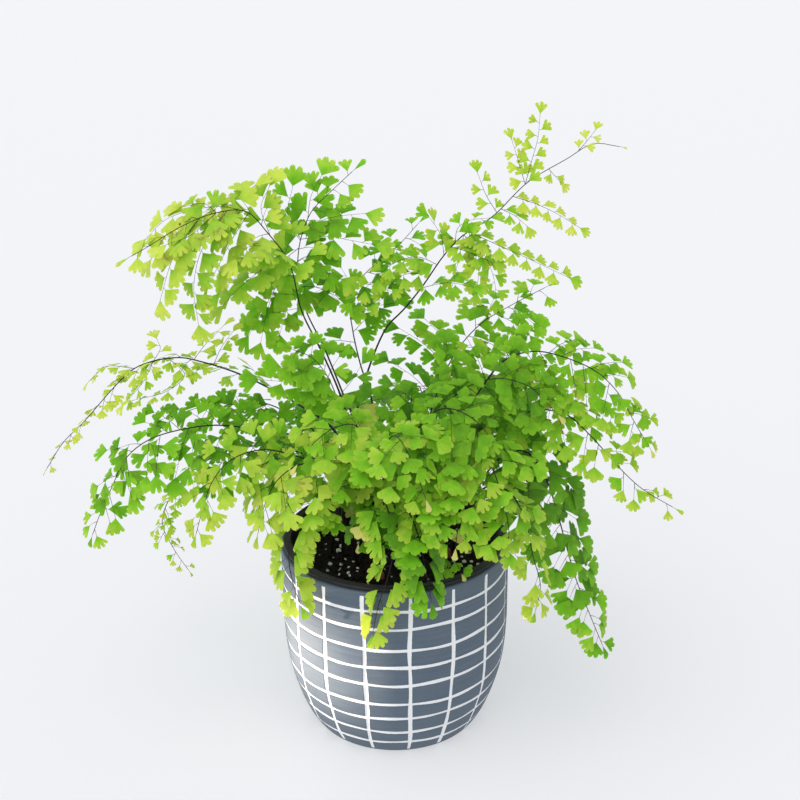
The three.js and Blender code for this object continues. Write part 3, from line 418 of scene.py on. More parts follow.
def mottle_group():
    """Blotches and grain by Object coordinates: Size is in millimetres, Stretch flattens them."""
    group, given, result = new_group(
        "Mottle", {"Size": 5.0, "Stretch": 1.0, "Detail": 3.0, "Contrast": 1.0}, ("Mask",))
    nodes = group.nodes
    place = put(nodes, "ShaderNodeTexCoord")
    apart = put(nodes, "ShaderNodeSeparateXYZ")
    together = put(nodes, "ShaderNodeCombineXYZ")
    noise = put(nodes, "ShaderNodeTexNoise", {"Roughness": 0.55})
    flattened = times(nodes, apart.outputs["Z"], given.outputs["Stretch"])
    scale = math_node(nodes, "DIVIDE", 1 / MM, given.outputs["Size"])
    contrasted = swing(nodes, noise.outputs[0], given.outputs["Contrast"])
    join(nodes,
         (place.outputs["Object"], apart.inputs[0]),
         (apart.outputs["X"], together.inputs["X"]),
         (apart.outputs["Y"], together.inputs["Y"]),
         (flattened, together.inputs["Z"]),
         (together.outputs[0], noise.inputs["Vector"]),
         (scale, noise.inputs["Scale"]),
         (given.outputs["Detail"], noise.inputs["Detail"]),
         (plus(nodes, contrasted, 0.5, clamp=True), result.inputs["Mask"]))


# ---- mesh helpers ------------------------------------------------------------------------


def spread(key):
    """An even, repeatable scatter between -0.5 and 0.5 for a key, which may be any number."""
    return (key * GOLDEN_SHARE) % 1.0 - 0.5


def as_mesh(name, bm):
    """Turns a bmesh into a mesh."""
    mesh = bpy.data.meshes.new(name)
    bm.to_mesh(mesh)
    bm.free()
    return mesh


def placed(name, data):
    """A new object in the scene."""
    thing = bpy.data.objects.new(name, data)
    bpy.context.scene.collection.objects.link(thing)
    return thing


def finished(name, bm, materials, replaced=(), crease=40):
    """Makes a mesh of millimetres a piece in metres that rides on the frame's body."""
    bmesh.ops.scale(bm, vec=(MM, MM, MM), verts=bm.verts)
    mesh = as_mesh(name, bm)
    mesh.shade_smooth()
    mesh.set_sharp_from_angle(angle=math.radians(crease))
    for material in materials:
        mesh.materials.append(material)
    piece = placed(name, mesh)
    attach(piece, "root")
    if replaced:
        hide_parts(*replaced)
    return piece


def turned(outline, steps):
    """A bmesh turned round Z from [radius, height] points that start and end on the axis."""
    bm = bmesh.new()
    points = [bm.verts.new((radius, 0, height)) for radius, height in outline]
    edges = [bm.edges.new(pair) for pair in zip(points, points[1:])]
    bmesh.ops.spin(
        bm, geom=points + edges, axis=(0, 0, 1), cent=(0, 0, 0), angle=math.tau, steps=steps,
        use_merge=True)
    bmesh.ops.remove_doubles(bm, verts=bm.verts, dist=MERGED)
    bmesh.ops.recalc_face_normals(bm, faces=bm.faces)
    return bm


def rounded(corner, into, out_of, radius, steps=4):
    """Points of an outline's rounded corner, between the point before it and the one after."""
    corner = Vector(corner)
    start = corner + (Vector(into) - corner).normalized() * radius
    end = corner + (Vector(out_of) - corner).normalized() * radius
    points = []
    for i in range(steps + 1):
        t = i / steps
        points.append(tuple((1 - t) ** 2 * start + 2 * t * (1 - t) * corner + t * t * end))
    return points


# ---- the glazed pot ----------------------------------------------------------------------

# The pot's profile, outside from the foot up and inside from below the mouth down: each
# point's radius and height.
POT_SIDE = ((47.5, 0), (52, 8.5), (56.5, 21), (60.35, 37), (62.05, 58), (62.5, 83), (62.5, 106))
POT_WALL = 4
POT_FLOOR = 7
POT_INSIDE = (
    (POT_RADIUS - POT_WALL, 58), (57.2, 42), (54, 28), (50.5, 15), (48, 10), (46, 7.6),
    (44, POT_FLOOR), (0, POT_FLOOR))
RIM_ROUNDING = 1.0
FOOT_EDGE = ((1, 0), (0.2, 0.25))  # the foot's rounded edge: how far in and how high

LINE_HEIGHTS = (8.6, 17.8, 28.2, 38.4, 51.1, 61.7, 72.5, 85.0, 95.0)
SEEN_UPRIGHTS = (-56.5, -36.6, -15.2, 7.2, 28.7, 50.5)  # degrees from the front, towards +X
UPRIGHTS = 16
UPRIGHT_TOP = 103.2
LINE_PROFILE = (-1.15, -0.7, 0, 0.7, 1.15)  # across a carved line, in half widths
LINE_CUT = (0, 1, 1, 1, 0)  # how deep each of those is, in line depths
# How a hand strays from a line and presses on it: waves, each its size, its pace in mm and
# its shift from one line to the next.
STRAY_WAVES = ((0.38, 17, 2.4), (0.2, 6.3, 4.1))
WIDTH_WAVES = ((0.16, 9.1, 1.7), (0.09, 3.1, 5.3))
ROUND_KEY = 40  # shifts the waves of the lines round the pot from those of the uprights

IN_PANEL = -1  # marks a column or row of the mesh that lies between two lines
PANEL_COLUMNS = 5
PANEL_ROWS = 3
LOWEST_ROW = 0.8  # where the rows of the side start above the foot
RIM_ROOM = 1.2  # and where they end below the rim
FIRST_HEIGHT = 50  # the first guess, because a column's angle depends on the height
GUESSES = 4
ROW_MARK = 1000  # rows of the side are turned at this height plus their number,
MARK_RADIUS = 100  # and this far out, before they go to their places


def pot_radius(height):
    """The glazed pot's outer radius at a height, on a smooth curve."""
    heights = [z for _, z in POT_SIDE]
    above = next((k for k, z in enumerate(heights) if z >= height), len(heights) - 1)
    if above == 0:
        return POT_SIDE[0][0]
    below = above - 1

    def slope(k):
        low, high = POT_SIDE[max(k - 1, 0)], POT_SIDE[min(k + 1, len(POT_SIDE) - 1)]
        return (high[0] - low[0]) / (high[1] - low[1])

    (r0, z0), (r1, z1) = POT_SIDE[below], POT_SIDE[above]
    span = z1 - z0
    t = (height - z0) / span
    return min(
        (2 * t**3 - 3 * t**2 + 1) * r0 + (t**3 - 2 * t**2 + t) * span * slope(below)
        + (3 * t**2 - 2 * t**3) * r1 + (t**3 - t**2) * span * slope(above),
        POT_RADIUS)


def upright_angles():
    """The angles of the carved uprights: those seen, then an even row round the back."""
    last = SEEN_UPRIGHTS[-1]
    hidden = UPRIGHTS - len(SEEN_UPRIGHTS) + 1
    pitch = (360 + SEEN_UPRIGHTS[0] - last) / hidden
    return list(SEEN_UPRIGHTS) + [last + pitch * (k + 1) for k in range(hidden - 1)]


def waving(waves, key, along, start):
    """A value that waves about its start along a hand-drawn line."""
    return sum((size * math.sin(along / pace + key * shift) for size, pace, shift in waves), start)


def line_edge(key, along, line_width, k):
    """How far one edge of a line stands from the line's even course at a place along it."""
    half = line_width / 2 * waving(WIDTH_WAVES, key, along, 1)
    return waving(STRAY_WAVES, key, along, 0) + LINE_PROFILE[k] * half


def between_lines(line, count):
    """The columns or rows that part a panel evenly: its line, a mark and a share of the way."""
    return [(line, IN_PANEL, (k + 1) / (count + 1)) for k in range(count)]


class CarvedGrid:
    """Where each column and row of the pot's mesh lies, so that its edges follow the lines."""

    def __init__(self, settings):
        self.settings = settings
        self.angles = upright_angles()
        self.columns = []
        for upright in range(UPRIGHTS):
            self.columns += [(upright, k, 0) for k in range(len(LINE_PROFILE))]
            self.columns += between_lines(upright, PANEL_COLUMNS)
        self.rows = []
        for line in range(len(LINE_HEIGHTS)):
            self.rows += between_lines(line - 1, PANEL_ROWS)
            self.rows += [(line, k, 0) for k in range(len(LINE_PROFILE))]
        self.rows += between_lines(len(LINE_HEIGHTS) - 1, PANEL_ROWS + 1)

    def edge_angle(self, upright, k, height):
        """The angle, in radians, of one edge of an upright at a height."""
        turns = math.tau * (upright // UPRIGHTS)
        middle = math.radians(self.angles[upright % UPRIGHTS]) + turns
        return middle + line_edge(upright, height, self.settings.upright_width, k) / pot_radius(height)

    def edge_height(self, line, k, angle):
        """The height of one edge of a line round the pot at an angle."""
        if line < 0:
            return LOWEST_ROW
        if line >= len(LINE_HEIGHTS):
            return POT_HEIGHT - RIM_ROOM
        along = angle * POT_RADIUS
        return LINE_HEIGHTS[line] + line_edge(line + ROUND_KEY, along, self.settings.line_width, k)

    @staticmethod
    def within(step, edge, along):
        """Where a column or row lies: on an edge of its line, or in the panel after it."""
        line, k, share = step
        if k != IN_PANEL:
            return edge(line, k, along)
        before = edge(line, len(LINE_PROFILE) - 1, along)
        after = edge(line + 1, 0, along)
        return before + (after - before) * share

    def angle(self, column, height):
        """The angle of a column of the mesh at a height."""
        return self.within(self.columns[column], self.edge_angle, height)

    def height(self, row, angle):
        """The height of a row of the mesh at an angle."""
        return self.within(self.rows[row], self.edge_height, angle)

    def place(self, column, row):
        """The angle and the height of one corner of the mesh, and how deep it is cut there."""
        height = FIRST_HEIGHT
        for _ in range(GUESSES):
            angle = self.angle(column, height)
            height = self.height(row, angle)
        across, along = self.columns[column][1], self.rows[row][1]
        upright_cut = LINE_CUT[across] if across != IN_PANEL and height < UPRIGHT_TOP else 0
        line_cut = LINE_CUT[along] if along != IN_PANEL else 0
        return angle, height, max(upright_cut, line_cut)


def glazed_pot_mesh(settings):
    """The pot as one closed turned mesh, with its carved lines cut into the side."""
    grid = CarvedGrid(settings)
    inner = POT_INSIDE[0][0]
    foot = POT_SIDE[0][0]
    outline = [(0, 0), (foot / 2, 0)] + [(foot - into, up) for into, up in FOOT_EDGE]
    outline += [(MARK_RADIUS, ROW_MARK + row) for row in range(len(grid.rows))]
    outline += rounded(
        (POT_RADIUS, POT_HEIGHT), (POT_RADIUS, 0), (0, POT_HEIGHT), RIM_ROUNDING)
    outline += rounded(
        (inner, POT_HEIGHT), (POT_RADIUS, POT_HEIGHT), (inner, 0), RIM_ROUNDING)
    outline += POT_INSIDE
    steps = len(grid.columns)
    bm = turned(outline, steps)
    cut = bm.verts.layers.float.new("line")
    for vert in bm.verts:
        turn = math.atan2(vert.co.x, -vert.co.y) % math.tau
        column = round(turn / math.tau * steps) % steps
        row = round(vert.co.z) - ROW_MARK
        if row >= 0:
            angle, height, vert[cut] = grid.place(column, row)
            radius = pot_radius(height) - vert[cut] * settings.line_depth
        else:
            height = vert.co.z
            angle = grid.angle(column, min(height, POT_HEIGHT))
            radius = math.hypot(vert.co.x, vert.co.y)
        vert.co = (radius * math.sin(angle), -radius * math.cos(angle), height)
    return bm


STREAK_WEAR = 0.50  # the brush's streaks, as a share of the glaze's wear
CLOUD_WEAR = 0.36  # its broad clouds
GRAIN_WEAR = 0.16  # and its fine specks
STREAK_RELIEF = 0.7  # how much of its relief is streaks
GRAIN_RELIEF = 0.3
SHADE_REACH = 3.2  # how soon the glaze darkens towards a line
SHADE_DEPTH = 0.22  # and how much
SHADED_GLAZE = (0.05, 0.06, 0.08)
LINE_RAGGEDNESS = 0.35
LINE_DIRT = 0.15
DIRTY_SLIP = (0.60, 0.64, 0.68)


def glaze_material(settings):
    """Brushed slate glaze with pale carved lines."""
    material, nodes, shader = new_material("Slate glaze")
    streaks = mottle(nodes, size=34, stretch=34, detail=5, contrast=2.2)
    clouds = mottle(nodes, size=22, stretch=1.8, detail=4, contrast=2.0)
    grain = mottle(nodes, size=0.9, detail=2, contrast=1.6)
    line = layer_value(nodes, "line")
    brushed = plus(nodes, times(nodes, streaks, STREAK_WEAR), times(nodes, clouds, CLOUD_WEAR))
    worn = plus(nodes, brushed, times(nodes, grain, GRAIN_WEAR), clamp=True)
    body = mixed(nodes, worn, settings.glaze, settings.worn_glaze)
    near = times(nodes, line, SHADE_REACH, clamp=True)
    shaded = mixed(nodes, times(nodes, near, SHADE_DEPTH), body, SHADED_GLAZE)
    ragged = plus(nodes, line, swing(nodes, grain, LINE_RAGGEDNESS))
    bare = put(nodes, "ShaderNodeMapRange", {"From Min": 0.42, "From Max": 0.62},
               interpolation_type="SMOOTHSTEP")
    join(nodes, (ragged, bare.inputs["Value"]))
    clay = mixed(nodes, times(nodes, clouds, LINE_DIRT), settings.slip, DIRTY_SLIP)
    tone = mixed(nodes, bare.outputs[0], shaded, clay)
    finish_surface(nodes, shader, tone, worn, smooth=0.50, rough=0.72)
    relief = plus(nodes, times(nodes, streaks, STREAK_RELIEF), times(nodes, grain, GRAIN_RELIEF))
    bump(nodes, shader, relief, distance=0.22)
    return material


# ---- the nursery pot ---------------------------------------------------------------------

NURSERY_WALL = 1.1
NURSERY_BASE_RADIUS = 43
NURSERY_TOP_RADIUS = 57.6
NURSERY_STEPS = 128
LIP_THICKNESS = 2
LIP_CREST = (59.2, 0.12)  # the lip's shallow hollow: its radius, and how far it is below the top
FOOT_ROUNDING = 1.5
LIP_UNDER_ROUNDING = 0.6
LIP_ROUNDING = 0.9
MOUTH_ROUNDING = 0.8
FLOOR_ROUNDING = 1.2
DRAIN_HOLES = 5
DRAIN_CIRCLE = 27
DRAIN_RADIUS = 5
DRAIN_SIDES = 24
DUST = 0.10
DUST_TONE = (0.09, 0.075, 0.06)


def nursery_mesh():
    """The nursery pot as one closed turned mesh, with its lip rounded over."""
    base, lip_top = NURSERY_LOW.z, NURSERY_HIGH.z
    under = lip_top - LIP_THICKNESS
    floor = base + NURSERY_WALL
    inner_top = NURSERY_TOP_RADIUS - NURSERY_WALL
    inner_base = NURSERY_BASE_RADIUS - NURSERY_WALL
    neck = (NURSERY_TOP_RADIUS, under)
    crest_radius, crest_depth = LIP_CREST
    corners = (
        ((NURSERY_BASE_RADIUS, base), (0, base), neck, FOOT_ROUNDING),
        ((LIP_RADIUS, under), neck, (LIP_RADIUS, lip_top), LIP_UNDER_ROUNDING),
        ((LIP_RADIUS, lip_top), (LIP_RADIUS, under), (0, lip_top), LIP_ROUNDING),
        ((inner_top, lip_top), (LIP_RADIUS, lip_top), (inner_base, base), MOUTH_ROUNDING),
        ((inner_base, floor), (inner_top, lip_top), (0, floor), FLOOR_ROUNDING))
    foot, lip_under, lip, mouth, floor_corner = (rounded(*corner) for corner in corners)
    outline = [
        (0, base), (DRAIN_CIRCLE, base), *foot, neck, *lip_under, *lip,
        (crest_radius, lip_top - crest_depth), *mouth, *floor_corner,
        (DRAIN_CIRCLE, floor), (0, floor)]
    return turned(outline, NURSERY_STEPS)


def drill(piece, places, radius, low, high):
    """Cuts round holes straight up through a finished piece."""
    bm = bmesh.new()
    for x, y in places:
        at = Matrix.Translation((x * MM, y * MM, (low + high) / 2 * MM))
        bmesh.ops.create_cone(
            bm, cap_ends=True, segments=DRAIN_SIDES, radius1=radius * MM, radius2=radius * MM,
            depth=(high - low) * MM, matrix=at)
    drills = placed("drills", as_mesh("drills", bm))
    cut = piece.modifiers.new("holes", "BOOLEAN")
    cut.operation = "DIFFERENCE"
    cut.solver = "EXACT"
    cut.object = drills
    seen = piece.evaluated_get(bpy.context.evaluated_depsgraph_get())
    holed = bpy.data.meshes.new_from_object(seen)
    piece.modifiers.clear()
    piece.data = holed
    bpy.data.objects.remove(drills)


def plastic_material(settings):
    """Black moulded plastic with fine scratches and a little soil dust."""
    material, nodes, shader = new_material("Black nursery plastic", {"Specular IOR Level": 0.25})
    dust = mottle(nodes, size=7, detail=4, contrast=2.4)
    scratches = mottle(nodes, size=9, stretch=26, contrast=1.8)
    tone = mixed(nodes, times(nodes, dust, DUST), settings.plastic, DUST_TONE)
    finish_surface(nodes, shader, tone, dust, smooth=0.30, rough=0.55)
    bump(nodes, shader, scratches, distance=0.05)
    return material


# ---- the soil and what lies on it --------------------------------------------------------

HEAP_REACH = 48  # how far from the middle the soil's heap ends
# The crumbs on the soil's face: warped waves, each its height in mm, then how fast it runs
# along x, how much it bends with y and how fast, and the same for y with x.
LUMPS = ((0.30, 1.9, 2, 1.3, 2.1, 1.7, 1.1), (0.55, 0.63, 1.9, 0.47, 0.71, 1.4, 0.39))
SOIL_CLEARANCE = 0.3  # between the soil and the nursery pot at its foot
SOIL_RINGS = 46
SOIL_STEPS = 168
TOP_MARK = 1000  # the turned mesh stands this high where the soil's top goes
EDGE_WIDTH = 3  # the soil is smooth this near to the pot
EDGE_DROP = 0.9  # and lies this much lower there
PERLITE_PATCHES = ((-30, -15), (-22, -32), (40, -20))  # where the grains lie closest
PATCH_REACH = 26
PATCH_PULL = 0.45
SCATTER = 5  # how far a grain may stray from an even scatter
STEM_CLEARANCE = 1.6
CRUMB_RISE = 0.3  # how far a crumb's middle stands out of the soil, in its sizes
CRUMB_WIDTH = 0.72  # across, in its lengths
CRUMB_WIDTH_SPREAD = 0.3
CHIP_WEAR = 0.34  # how wide a chip's corners are worn off, in half its sizes
CHIP_CROOKEDNESS = 0.7
CHIP_FLATNESS = 0.6
CHIP_ROUGHNESS = 0.06


def soil_height(x, y):
    """The soil's mean height at a place, as the frame's soil has it."""
    heap = SOIL_HEAP * (1 - math.hypot(x, y) / HEAP_REACH)
    wave = SOIL_WAVE * math.sin(x / SOIL_WAVELENGTH) * math.cos(y / SOIL_WAVELENGTH)
    return SOIL_LEVEL + heap + wave


def lumps(x, y):
    """How far the soil's crumbs stand above its mean height."""
    total = 0
    for height, x_pace, x_bend, y_warp, y_pace, y_bend, x_warp in LUMPS:
        across = math.sin(x * x_pace + x_bend * math.sin(y * y_warp))
        along = math.cos(y * y_pace + y_bend * math.sin(x * x_warp))
        total += height * (across * along)
    return total


def soil_mesh():
    """The soil as a closed plug with a lumpy top."""
    bottom = SOIL_LOW.z
    radius_low = NURSERY_BASE_RADIUS - NURSERY_WALL - SOIL_CLEARANCE
    radius_top = SOIL_HIGH.x
    outline = [(0, bottom), (radius_low, bottom), (radius_top, SOIL_LEVEL - 1)]
    outline += [(radius_top * (1 - k / SOIL_RINGS), TOP_MARK) for k in range(SOIL_RINGS)]
    outline += [(0, TOP_MARK)]
    bm = turned(outline, SOIL_STEPS)
    for vert in bm.verts:
        if vert.co.z > TOP_MARK / 2:
            x, y = vert.co.x, vert.co.y
            edge = min(1, (radius_top - math.hypot(x, y)) / EDGE_WIDTH)
            vert.co.z = soil_height(x, y) + lumps(x, y) * edge - EDGE_DROP * (1 - edge)
    return bm


def add_crumb(bm, at, size, flatness, key, roughness):
    """Adds one rough crumb where it lies."""
    made = bmesh.ops.create_icosphere(bm, subdivisions=1, radius=size)["verts"]
    for k, vert in enumerate(made):
        vert.co *= 1 + roughness * spread(key * 7 + k * 3)
    turn = Matrix.Rotation(key * GOLDEN_ANGLE, 4, "Z") @ Matrix.Rotation(spread(key * 3), 4, "X")
    squash = Matrix.Diagonal((1, CRUMB_WIDTH + CRUMB_WIDTH_SPREAD * spread(key), flatness, 1))
    bmesh.ops.transform(bm, matrix=Matrix.Translation(at) @ turn @ squash, verts=made)


def scattered(count, reach, clear_of, key):
    """Places on the soil, evenly scattered and clear of the stems."""
    places = []
    for i in range(count):
        out = reach * math.sqrt((i + 0.5) / count)
        turn = i * GOLDEN_ANGLE + key
        x = out * math.cos(turn) + SCATTER * spread(i * 3 + key)
        y = out * math.sin(turn) + SCATTER * spread(i * 5 + key)
        clear = all(math.hypot(x - a, y - b) > STEM_CLEARANCE for a, b in clear_of)
        if clear and math.hypot(x, y) < reach:
            places.append((x, y))
    return places


def gathered(places):
    """The same places, those near a patch of perlite drawn in towards its middle."""
    drawn = []
    for x, y in places:
        for a, b in PERLITE_PATCHES:
            pull = PATCH_PULL * max(0, 1 - math.hypot(x - a, y - b) / PATCH_REACH)
            x += (a - x) * pull
            y += (b - y) * pull
        drawn.append((x, y))
    return drawn


def grains_mesh(places, smallest, largest, flatness, roughness):
    """Rough grains of several sizes that lie on the soil."""
    bm = bmesh.new()
    for i, (x, y) in enumerate(places):
        size = smallest + (largest - smallest) * (0.5 + spread(i * 3)) ** 2
        at = (x, y, soil_height(x, y) + lumps(x, y) + CRUMB_RISE * size)
        add_crumb(bm, at, size, flatness, i, roughness)
    return bm


def chip_mesh(node, key):
    """A clay chip that fills its node's box: a broken piece with flat faces and worn corners."""
    low, high = node_box(node)
    middle, half = (low + high) / 2, (high - low) / 2
    bm = bmesh.new()
    made = bmesh.ops.create_cube(bm, size=2)["verts"]
    for k, vert in enumerate(made):
        x, y, z = (spread(key + k * step) for step in (3, 5, 7))
        vert.co += Vector((x, y, CHIP_FLATNESS * z)) * CHIP_CROOKEDNESS
    bmesh.ops.bevel(
        bm, geom=list(bm.edges), offset=CHIP_WEAR, offset_type="OFFSET", segments=2, profile=0.5,
        affect="EDGES", material=-1)
    bmesh.ops.subdivide_edges(bm, edges=list(bm.edges), cuts=1, use_grid_fill=True)
    for k, vert in enumerate(bm.verts):
        vert.co *= 1 + CHIP_ROUGHNESS * spread(k * 3 + key)
    reach = [max(abs(v.co[axis]) for v in bm.verts) for axis in range(3)]
    sizes = [half[axis] / reach[axis] for axis in range(3)]
    into_box = Matrix.Translation(middle) @ Matrix.Diagonal((*sizes, 1))
    bmesh.ops.transform(bm, matrix=into_box, verts=bm.verts)
    bmesh.ops.recalc_face_normals(bm, faces=bm.faces)
    return bm


def soil_material(settings):
    """Dark damp mix with drier blotches."""
    material, nodes, shader = new_material("Potting mix", {"Specular IOR Level": 0.12})
    grain = mottle(nodes, size=0.7, detail=4, contrast=2.0)
    blotches = mottle(nodes, size=3.2, detail=6, contrast=2.6)
    dry = times(nodes, blotches, grain)
    tone = mixed(nodes, dry, settings.soil, settings.dry_soil)
    finish_surface(nodes, shader, tone, dry, smooth=0.55, rough=0.95)
    bump(nodes, shader, grain, distance=0.9)
    return material


def stone_material(name, pale, dark, pore, smooth, rough):
    """A dry mineral with pores: perlite or fired clay."""
    material, nodes, shader = new_material(name)
    blotches = mottle(nodes, size=pore * 3, detail=4, contrast=2.2)
    pores = mottle(nodes, size=pore, contrast=2.4)
    tone = mixed(nodes, blotches, dark, pale)
    finish_surface(nodes, shader, tone, pores, smooth, rough)
    bump(nodes, shader, pores, distance=pore / 2)
    return material


# ---- the fronds: how they grow -----------------------------------------------------------

STEM_PIECES = 72  # straight pieces that a stem is made of, and so for the next two
TWIG_PIECES = 20
BRANCH_PIECES = 14
SPLINE_STEPS = 16

# The dense middle is more broad-leaved than the sprays around it.
MASS_FRONDS = (
    "upper_mass", "mid_mass", "low_mass", "front_mid", "front_right", "centre_left", "inner_low",
    "short_low", "right_upper")
# These stand between the two: their leaflets are rounder than a spray's.
ROUNDER_FRONDS = (
    "right_mid", "right_low", "right_back", "top_front", "stem_cluster", "left_rim", "front_drop")

# How close the branches stand, as a share of the frond table's distances.
ROW_GAP = 0.75
SLIM_ROW_GAP = 0.66  # where the branches are hardly longer than the leaflets
SLIM_REACH = 1.3  # the longest branch of such a frond, in leaflet lengths
OPEN_ROW_GAP = 1.05  # where they stand well apart
OPEN_FRONDS = ("right_mid",)

FIRST_BRANCH = 0.3  # where the first of a pair stands, in distances between pairs
PARTNER_SHIFT = 0.42  # and how much further along the second stands
BRANCH_LEAN = 58  # degrees between a branch and its stem
BRANCH_LEAN_SPREAD = 16
BRANCH_START = 0.75  # the lowest branch's length, in lengths of the longest
BRANCH_SWELL = 1.6  # how fast the branches above it grow longer
BRANCH_TAPER = 0.7  # how fast they shorten towards the tip: 1 is in a straight line
BRANCH_UNEVENNESS = 0.35
BRANCH_LIFT = 0.3  # how far a branch may stray out of the frond's face
BRANCH_MIDDLE_SAG = 0.06  # how far its middle sags, in its own lengths
BRANCH_SAG = 0.25  # and its tip

# A leaflet's length, as a share of the frond table's.
LEAF_SHARE = 0.96
MASS_LEAF_SHARE = 0.74
LARGER_LEAVES = {  # and how much larger that of some fronds is
    "right_low": 1.1, "front_drop": 1.3, "left_rim": 1.2, "right_front": 1.1, "top_front": 1.05,
    "top_left": 1.1}
# The length of the leaflets at a frond's tip, as a share of the lowest's.
USUAL_TIP_SHARE = 0.78
TIP_SHARES = {"long_right": 0.42, "left_thin": 0.5, "left_droop": 0.7, "right_mid": 0.6}
BUD_SHARE = 0.8  # the length of the leaflet at a frond's very tip, as a share of those
LEAF_PITCH = 0.48  # distance between leaflets on a branch, in leaflet lengths
END_ROOM = 0.35  # from the last one to the branch's tip
FIRST_LEAF = 0.45  # where the first one stands, in distances between two
LEAF_LEAN = 58  # degrees between a leaflet and its branch
LEAF_LEAN_SPREAD = 20
LEAF_SAG = 0.12
LEAF_ROLL = 0.55  # how far a leaflet may turn about its middle line
LEAF_NOD = 0.5  # and how far its tip may nod
LEAF_TAPER = 0.2  # how much shorter the leaflets at a branch's tip are
LEAF_UNEVENNESS = 0.3
END_LEAF = 0.95  # the length of the one at its tip, in the others' lengths
SHORT_END_LEAF = 0.85  # that on a branch which is shorter than a leaflet
PETIOLE = 1.5  # a leaflet's own stalk

# Tints run from 0, deep green, past 1, lime, to PALEST. Some fronds differ from the frond
# table's tone, because it chooses the slot in the record.
PALEST = 1.3
TONE_SHIFTS = {
    "right_mid": 0.10, "right_upper": 0.12, "right_back": 0.08, "right_front": -0.08,
    "right_low": 0.04, "front_drop": -0.16, "left_rim": -0.14, "left_light": -0.14,
    "left_thin": 0.14, "centre_left": -0.06}
MASS_SHADE = 0.12  # how much deeper green the dense middle is
USUAL_PALING = 0.3  # how much paler a frond is at its tip than at its root
PALING = {"long_right": 1.1, "right_low": 0.5, "left_thin": 0.6}
PALING_MIDDLE = 0.6  # where along the stem it has the frond's own tone
BRANCH_PALING = 0.14
TINT_SPREAD = 0.34
FADED_EVERY = 163  # one leaflet of so many in the dense middle is faded
FADED_TINT = 2  # a tint past the palest marks it

# Each kind of leaflet: half its angle in degrees, lobes, teeth on each lobe, the depth of the
# cuts between the lobes and how far it leans to one side, in degrees.
LEAF_CUTS = {
    "fingers": (48, 4, 2, 0.30, 4),
    "split": (42, 3, 2, 0.34, -5),
    "wedge": (36, 3, 1, 0.26, 3),
    "half": (44, 3, 2, 0.28, 19),
    "other half": (44, 4, 1, 0.28, -18),
    "fan": (54, 4, 2, 0.20, 5),
    "round": (66, 4, 2, 0.14, -4),
    "broad": (58, 3, 3, 0.18, 8),
    "bud": (22, 1, 2, 0.0, 0),
}
# The order in which a frond's leaflets take their kinds.
SPRAY_KINDS = (
    "fingers", "half", "split", "fan", "wedge", "other half", "fingers", "split", "half")
ROUNDER_KINDS = ("fan", "split", "broad", "half", "fan", "other half", "fan", "wedge")
MASS_KINDS = ("round", "fan", "broad", "round", "half", "fan", "broad", "fingers")


class Path:
    """A smooth curve through points, evenly divided, by the same rule as the frame's stems."""

    def __init__(self, points, pieces):
        points = [Vector(point) for point in points]
        ends = [2 * points[0] - points[1], *points, 2 * points[-1] - points[-2]]
        fine = []
        for a, b, c, d in zip(ends, ends[1:], ends[2:], ends[3:]):
            fine += self.between(a, b, c, d)
        fine.append(points[-1])
        walked = [0.0]
        for a, b in zip(fine, fine[1:]):
            walked.append(walked[-1] + (b - a).length)
        self.length = walked[-1]
        self.points = []
        k = 0
        for i in range(pieces + 1):
            goal = self.length * i / pieces
            while k < len(fine) - 2 and walked[k + 1] < goal:
                k += 1
            step = walked[k + 1] - walked[k]
            self.points.append(fine[k].lerp(fine[k + 1], (goal - walked[k]) / step if step else 0))

    @staticmethod
    def between(a, b, c, d):
        """Points of a centripetal spline from b up to c."""
        e0, e1, e2 = (math.sqrt(max((q - p).length, MERGED)) for p, q in ((a, b), (b, c), (c, d)))
        start = ((b - a) / e0 - (c - a) / (e0 + e1) + (c - b) / e1) * e1
        end = ((c - b) / e1 - (d - b) / (e1 + e2) + (d - c) / e2) * e1
        bend = 3 * (c - b) - 2 * start - end
        twist = 2 * (b - c) + start + end
        steps = [j / SPLINE_STEPS for j in range(SPLINE_STEPS)]
        return [b + start * t + bend * t * t + twist * t**3 for t in steps]

    def at(self, place):
        """The point at a share of the length, and the direction there."""
        step = min(max(place, 0), 1) * (len(self.points) - 1)
        k = min(int(step), len(self.points) - 2)
        a, b = self.points[k], self.points[k + 1]
        return a.lerp(b, step - k), (b - a).normalized()

    def directions(self, place, face):
        """The point, the direction along, the one out of the frond's face and the one across it."""
        point, along = self.at(place)
        out = (face - along * face.dot(along)).normalized()
        return point, along, out, along.cross(out)


def leaning(along, across, side, degrees):
    """The direction that leans from along towards one side."""
    turn = math.radians(degrees)
    return along * math.cos(turn) + across * side * math.sin(turn)


class Leaflet:
    """Where one leaflet grows: its root, heading, upper side, length, kind and tint."""

    def __init__(self, root, heading, upper, size, kind, tint):
        self.root = root
        self.heading = heading.normalized()
        self.upper = (upper - self.heading * upper.dot(self.heading)).normalized()
        self.size = size
        self.kind = kind
        self.tint = tint


